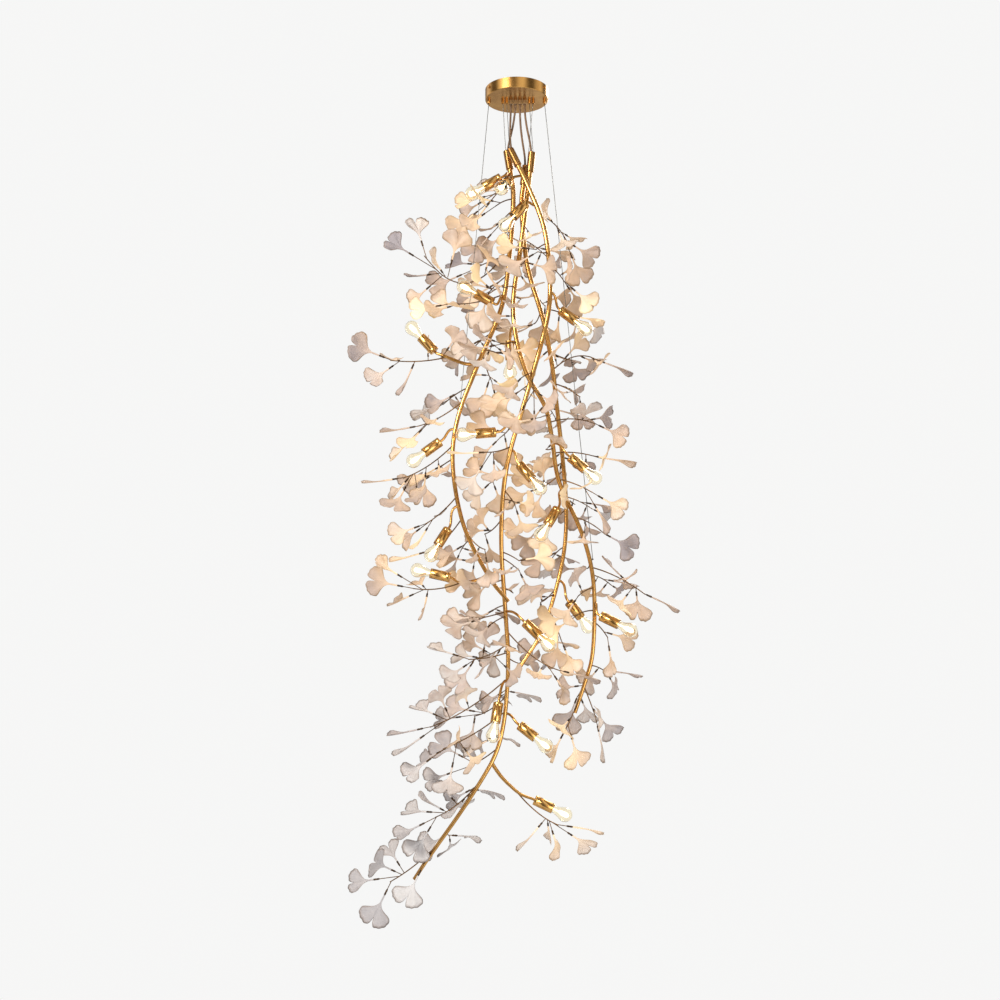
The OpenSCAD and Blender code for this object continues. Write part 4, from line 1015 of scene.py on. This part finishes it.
whole = addNode(t, "GeometryNodeJoinGeometry")
t.links.new(blade, whole.inputs[0])
t.links.new(neck, whole.inputs[0])
leafOut = flow(t, "GeometryNodeSetShadeSmooth", {0: whole.outputs[0]})
leafOut = flow(t, "GeometryNodeSetMaterial", {0: leafOut, "Material": given["Material"]})
t.links.new(leafOut, result[0])

dice = np.random.default_rng(leafPlan["seed"])
variants = bpy.data.collections.new("leafVariants")
for kind, (radius, spreadAngle, cleft, curl, cup, neckLength) in enumerate(leafPlan["kinds"]):
    for k in range(leafPlan["variantsEach"]):
        vary = dice.uniform(-1, 1, 6)
        mesh = grow("leafVariant", leafTree, bpy.data.meshes.new("blank"), **{
            "Radius": radius * (1 + leafPlan["radiusVary"] * vary[0]) * mm,
            "Spread": math.radians(spreadAngle * (1 + leafPlan["spreadVary"] * vary[1])),
            "Cleft": cleft * (1 + leafPlan["bendVary"] * vary[2]),
            "Curl": curl * (1 + leafPlan["bendVary"] * vary[3]),
            "Cup": cup * (1 + leafPlan["cupVary"] * vary[4]), "Neck Length": neckLength * mm,
            "Ruffle": leafPlan["ruffle"] * (leafPlan["narrowRuffle"] if kind == 2 else 1.0) * mm,
            "Teeth": leafPlan["teeth"], "Phase": leafPlan["phaseRange"] * vary[5],
            "Lobe Tilt": leafPlan["tiltRange"] * vary[1], "Thickness": leafPlan["thickness"] * mm,
            "Columns": leafPlan["columns"], "Rows": leafPlan["rows"], "Material": porcelain})
        variant = bpy.data.objects.new("leafVariant%02d" % (kind * leafPlan["variantsEach"] + k), mesh)
        variants.objects.link(variant)

clusterTree, given, result = geometryTree("leafCluster", {"Variants": "Collection", "Material": "Material"})
t = clusterTree
shapes = flow(t, "GeometryNodeCollectionInfo", {
    "Collection": given["Variants"], "Separate Children": True, "Reset Children": True})
pose = flow(t, "FunctionNodeAxesToRotation", {
    "Primary Axis": stored(t, "neckWay", "FLOAT_VECTOR"), "Secondary Axis": stored(t, "faceWay", "FLOAT_VECTOR")},
    primary_axis="Z", secondary_axis="X")
placed = flow(t, "GeometryNodeInstanceOnPoints", {
    "Points": given["Geometry"], "Instance": shapes, "Pick Instance": True,
    "Instance Index": stored(t, "variant", "INT"), "Rotation": pose})
placed = flow(t, "GeometryNodeRealizeInstances", {0: placed})
placed = flow(t, "GeometryNodeSetMaterial", {0: placed, "Material": given["Material"]})
t.links.new(placed, result[0])

stalkTops = np.array([top for _, top in stalks])
stalkWays = np.array([unit(top - start) for start, top in stalks])
neckStarts = stalkTops - stalkWays * leafPlan["sleeveSeat"] * mm
bulbMiddles = np.array([mouth + way * glowPlan["bulbMiddle"] for mouth, way in zip(mouths, headings)])


def leafFrame(points, triangles):  # a leaf's stalk, its facing direction and its kind
    away = [np.linalg.norm(points - start, axis=1).min() for start in neckStarts]
    k = int(np.argmin(away))
    way = stalkWays[k]
    area = np.linalg.norm(np.cross(triangles[:, 1] - triangles[:, 0], triangles[:, 2] - triangles[:, 0]), axis=1)
    middle = (triangles.mean(1) * area[:, None]).sum(0) / area.sum() - neckStarts[k]
    face = unit(middle - way * (middle @ way))
    width = np.ptp(points @ np.cross(way, face))
    return k, face, 0 if width > leafPlan["openWidth"] else 1 if width > leafPlan["cuppedWidth"] else 2


def setLeaves(name, starts, ways, faceWays, kinds, *replaced):
    mesh = bpy.data.meshes.new("leafPlaces")
    mesh.from_pydata([tuple(p) for p in starts], [], [])
    mark(mesh, "neckWay", "FLOAT_VECTOR", ways)
    mark(mesh, "faceWay", "FLOAT_VECTOR", faceWays)
    picks = [kind * leafPlan["variantsEach"] + int(dice.integers(leafPlan["variantsEach"])) for kind in kinds]
    mark(mesh, "variant", "INT", picks)
    tones = np.clip(dice.normal(leafPlan["toneMiddle"], leafPlan["toneRange"], len(kinds)), 0, 1)
    mark(mesh, "tone", "FLOAT", tones)
    made = grow(name, clusterTree, mesh, Variants=variants, Material=porcelain)
    place = np.empty(len(made.vertices) * 3, np.float32)
    made.vertices.foreach_get("co", place)
    margin = leafPlan["boxMargin"]  # keeps the leaves inside the frame's box
    place = np.clip(place.reshape(-1, 3), np.array(cadBox[0]) + margin, np.array(cadBox[1]) - margin)
    made.vertices.foreach_set("co", place.astype(np.float32).ravel())
    # Painted lamp glow: strongest close to each bulb, with a weaker share over the cluster's heart
    gap = np.min([np.linalg.norm(place - b, axis=1) for b in bulbMiddles], axis=0)
    inner = np.hypot(offMiddle(place), place[:, 1])
    level = (place[:, 2] + glowPlan["depth"]) / glowPlan["heartHeight"]
    heart = np.exp(-(inner / glowPlan["heartReach"]) ** 2 - level ** 4)
    paintedGlow = np.maximum(np.exp(-(gap / glowPlan["bulbReach"]) ** 2), glowPlan["heartGlowShare"] * heart)
    cool = np.clip((glowPlan["coolFrom"] - place[:, 2]) / glowPlan["coolOver"], 0, 1)
    mark(made, "paintedGlow", "FLOAT", paintedGlow)
    mark(made, "cool", "FLOAT", cool)
    setPiece(name, made, "cluster", "porcelain", *replaced)
    print(name, len(kinds), "leaves", len(made.polygons), "faces, kinds", np.bincount(kinds, minlength=3))


for zone in zones:
    rows = [leafFrame(points, triangles) for points, triangles in islandsOf("leaves_" + zone)]
    owner = [k for k, _, _ in rows]
    setLeaves(camel("leaves_" + zone), neckStarts[owner], stalkWays[owner], [face for _, face, _ in rows],
              [kind for _, _, kind in rows], "leaves_" + zone)
heartTops = np.array([top for _, top in heartStalks])
heartWays = np.array([unit(top - start) for start, top in heartStalks])
setLeaves("heartLeaves", heartTops - heartWays * leafPlan["sleeveSeat"] * mm, heartWays, heartFaces, heartKinds)
for variant in list(variants.objects):
    bpy.data.objects.remove(variant)
bpy.data.collections.remove(variants)


# Bulbs

def lathe(profile, segments):  # a closed outline turned about the z axis
    points, faces = [], []
    rows = len(profile)
    for i in range(segments):
        a = 2 * math.pi * i / segments
        points += [(r * mm * math.cos(a), r * mm * math.sin(a), h * mm) for r, h in profile]
    for i in range(segments):
        for k in range(rows - 1):
            a, b = i * rows + k, (i + 1) % segments * rows + k
            faces.append((a, b, b + 1, a + 1))
    return points, faces


def soundMesh(mesh):  # joined at its poles, with its normals outward
    work = bmesh.new()
    work.from_mesh(mesh)
    bmesh.ops.remove_doubles(work, verts=work.verts, dist=1e-6)
    bmesh.ops.recalc_face_normals(work, faces=work.faces)
    work.to_mesh(mesh)
    work.free()
    return mesh


bulbShape = {
    "segments": 28,
    "glass": [(0, 47), (5.4, 46.1), (10.4, 43.4), (14.2, 39.2), (16.4, 34.4), (17, 30), (16.2, 25), (14, 19.5),
              (11.2, 13), (9.4, 7), (8.5, 2), (8.2, -4), (7.2, -4), (7.5, 2), (8.4, 7), (10.2, 13.4), (13, 20),
              (15.2, 25.4), (16, 30), (15.5, 34), (13.4, 38.6), (9.8, 42.5), (5, 45.1), (0, 46)],
    "cap": [(0, -4), (8, -4), (8, -6), (6.9, -6.8), (6.2, -8), (6.9, -9.2), (6.2, -10.5), (6.9, -11.8), (6.2, -13),
            (6.9, -14.3), (6.2, -15.6), (6.9, -17), (6.9, -20), (5, -23), (3, -25), (2.6, -27), (0, -27)],
    "core": [(0, 39), (3.4, 37.6), (5.2, 34), (5.4, 28), (5, 21), (3.4, 16.5), (1.6, 13), (1.6, -3.9), (0, -3.9)],
}

cupShape = {
    "segments": 40, "grainRun": 0.012, "grainShift": 3.0,  # another piece of the pattern for each cup
    "profile": [(0, -47), (10.95, -47), (11.5, -46.8), (11.75, -46.2), (11.75, -39), (11.45, -38.6), (11.45, -37.8),
                (11.75, -37.4), (11.75, -3.4), (11.45, -3), (11.45, -2.2), (11.75, -1.8), (11.75, -0.3), (11.5, 0),
                (10.75, 0), (10.55, -0.3), (10.55, -40), (0, -40)],
}
points, faces, grains = [], [], []
for mouth, way in zip(mouths, headings):
    ownPoints, quads = lathe(cupShape["profile"], cupShape["segments"])
    turn = Vector(way).to_track_quat("Z", "Y")
    faces += [tuple(i + len(points) for i in q) for q in quads]
    points += [tuple(turn @ Vector(p) + Vector(mouth)) for p in ownPoints]
    for x, y, h in ownPoints:
        r = math.hypot(x, y) or 1.0
        grains += [x / r + cupShape["grainShift"] * way[0], y / r + cupShape["grainShift"] * mouth[2],
                   h * cupShape["grainRun"] / mm]
mesh = bpy.data.meshes.new("lampholderCups")
mesh.from_pydata(points, [], faces)
mark(mesh, "grain", "FLOAT_VECTOR", grains)
mesh.materials.append(cupBrass)
mesh.polygons.foreach_set("use_smooth", [True] * len(faces))
setPiece("lampholderCups", soundMesh(mesh), "cluster", "brass", "lampholder_cups")


def bulbMesh(name, mouth, way):
    points, faces, slots = [], [], []
    for k, part in enumerate(["glass", "cap", "core"]):
        more, quads = lathe(bulbShape[part], bulbShape["segments"])
        faces += [tuple(i + len(points) for i in q) for q in quads]
        points += more
        slots += [k] * len(quads)
    turn = Vector(way).to_track_quat("Z", "Y")
    mesh = bpy.data.meshes.new(name)
    mesh.from_pydata([tuple(turn @ Vector(p) + Vector(mouth)) for p in points], [], faces)
    for material in [bulbGlass, capMetal, bulbGlow]:
        mesh.materials.append(material)
    mesh.polygons.foreach_set("material_index", slots)
    mesh.polygons.foreach_set("use_smooth", [True] * len(faces))
    return mesh


for i, (mouth, way) in enumerate(zip(mouths, headings)):
    name = "bulb_%02d" % (i + 1)
    setPiece(camel(name), soundMesh(bulbMesh(camel(name), mouth, way)), name + "_body", "bulb_glass", name)
print("bulbs made")


# Finish of the CAD nodes that stay

for node, material in {
    "ceiling_plate": plateSteel, "canopy_cup": canopyBrass, "canopy_screws": canopyBrass,
    "terminal_block": blockPlastic, "cable_nipples": canopyBrass, "flex_glands": glandPlastic,
    "suspension_cables": cableSteel, "top_ferrules": ferruleBrass, "lampholder_inserts": insertPlastic,
}.items():
    dress(node, material)


# Studio

studioPlan = {
    "backdrop": (0.925, 0.925, 0.92, 1), "ambient": (0.3, 0.3, 0.315, 1), "floorHeight": -3.0, "floorRadius": 2.9,
    "floorCorners": 64, "fadeFrom": 1.2, "floorColour": (0.86, 0.86, 0.855, 1), "floorRoughness": 0.8,
    "panelCount": 5.0, "panelEdge": (-0.6, 0.7), "panelDark": (0.1, 0.085, 0.07, 1),
    "panelLight": (1.1, 1.06, 1.0, 1),
    # place, aim, size, watts, colour
    "lamps": {
        "key": ((-2.1, -2.7, 0.5), (0, 0, -1.0), 1.2, 108, (1.0, 0.97, 0.93)),
        "fill": ((1.6, -2.6, -1.9), (0, 0, -1.3), 1.8, 38, (0.97, 0.98, 1.0)),
        "back": ((1.4, 2.4, 0.6), (0, 0, -0.9), 1.2, 46, (1.0, 0.95, 0.88)),
    },
}

world.use_nodes = True
sky = world.node_tree
sky.nodes.clear()
path = addNode(sky, "ShaderNodeLightPath").outputs
seen = calc(sky, "MAXIMUM", path["Is Camera Ray"], path["Is Transmission Ray"])
around = partsOf(sky, addNode(sky, "ShaderNodeTexCoord").outputs["Generated"])
azimuth = calc(sky, "ARCTAN2", around[0], around[1])
panels = calc(sky, "SINE", times(sky, azimuth, studioPlan["panelCount"]))
panels = spread(sky, panels, *studioPlan["panelEdge"])
mirrored = blendColours(sky, panels, studioPlan["panelDark"], studioPlan["panelLight"])
spill = blendColours(sky, path["Is Glossy Ray"], studioPlan["ambient"], mirrored)
lit = flow(sky, "ShaderNodeBackground", {"Color": blendColours(sky, seen, spill, studioPlan["backdrop"])})
addNode(sky, "ShaderNodeOutputWorld", {0: lit})

for name, (place, aim, size, watts, colour) in studioPlan["lamps"].items():
    lamp = bpy.data.lights.new(name, "AREA")
    lamp.size, lamp.energy, lamp.color = size, watts, colour
    holder = newObject(name, lamp)
    holder.location = place
    holder.rotation_euler = (Vector(aim) - Vector(place)).to_track_quat("-Z", "Y").to_euler()

# The floor fades into the backdrop at its rim
floorLook, tree, shader = newMaterial("floor", Roughness=studioPlan["floorRoughness"])
shader.inputs["Base Color"].default_value = studioPlan["floorColour"]
away = addNode(tree, "ShaderNodeVectorMath", {0: placeOf(tree, (1, 1, 0))}, operation="LENGTH").outputs["Value"]
clear = flow(tree, "ShaderNodeBsdfTransparent")
share = spread(tree, away, studioPlan["fadeFrom"], studioPlan["floorRadius"])
fade = flow(tree, "ShaderNodeMixShader", {0: share, 1: shader.outputs[0], 2: clear})
tree.links.new(fade, tree.nodes["Material Output"].inputs["Surface"])
floorMesh = bpy.data.meshes.new("floor")
radius = studioPlan["floorRadius"]
turns = np.linspace(0, 2 * math.pi, studioPlan["floorCorners"], endpoint=False)
ringPoints = [(radius * math.cos(a), radius * math.sin(a), studioPlan["floorHeight"]) for a in turns]
floorMesh.from_pydata(ringPoints, [], [tuple(range(len(turns)))])
floorMesh.materials.append(floorLook)
floor = newObject("floor", floorMesh)

bpy.context.view_layer.update()
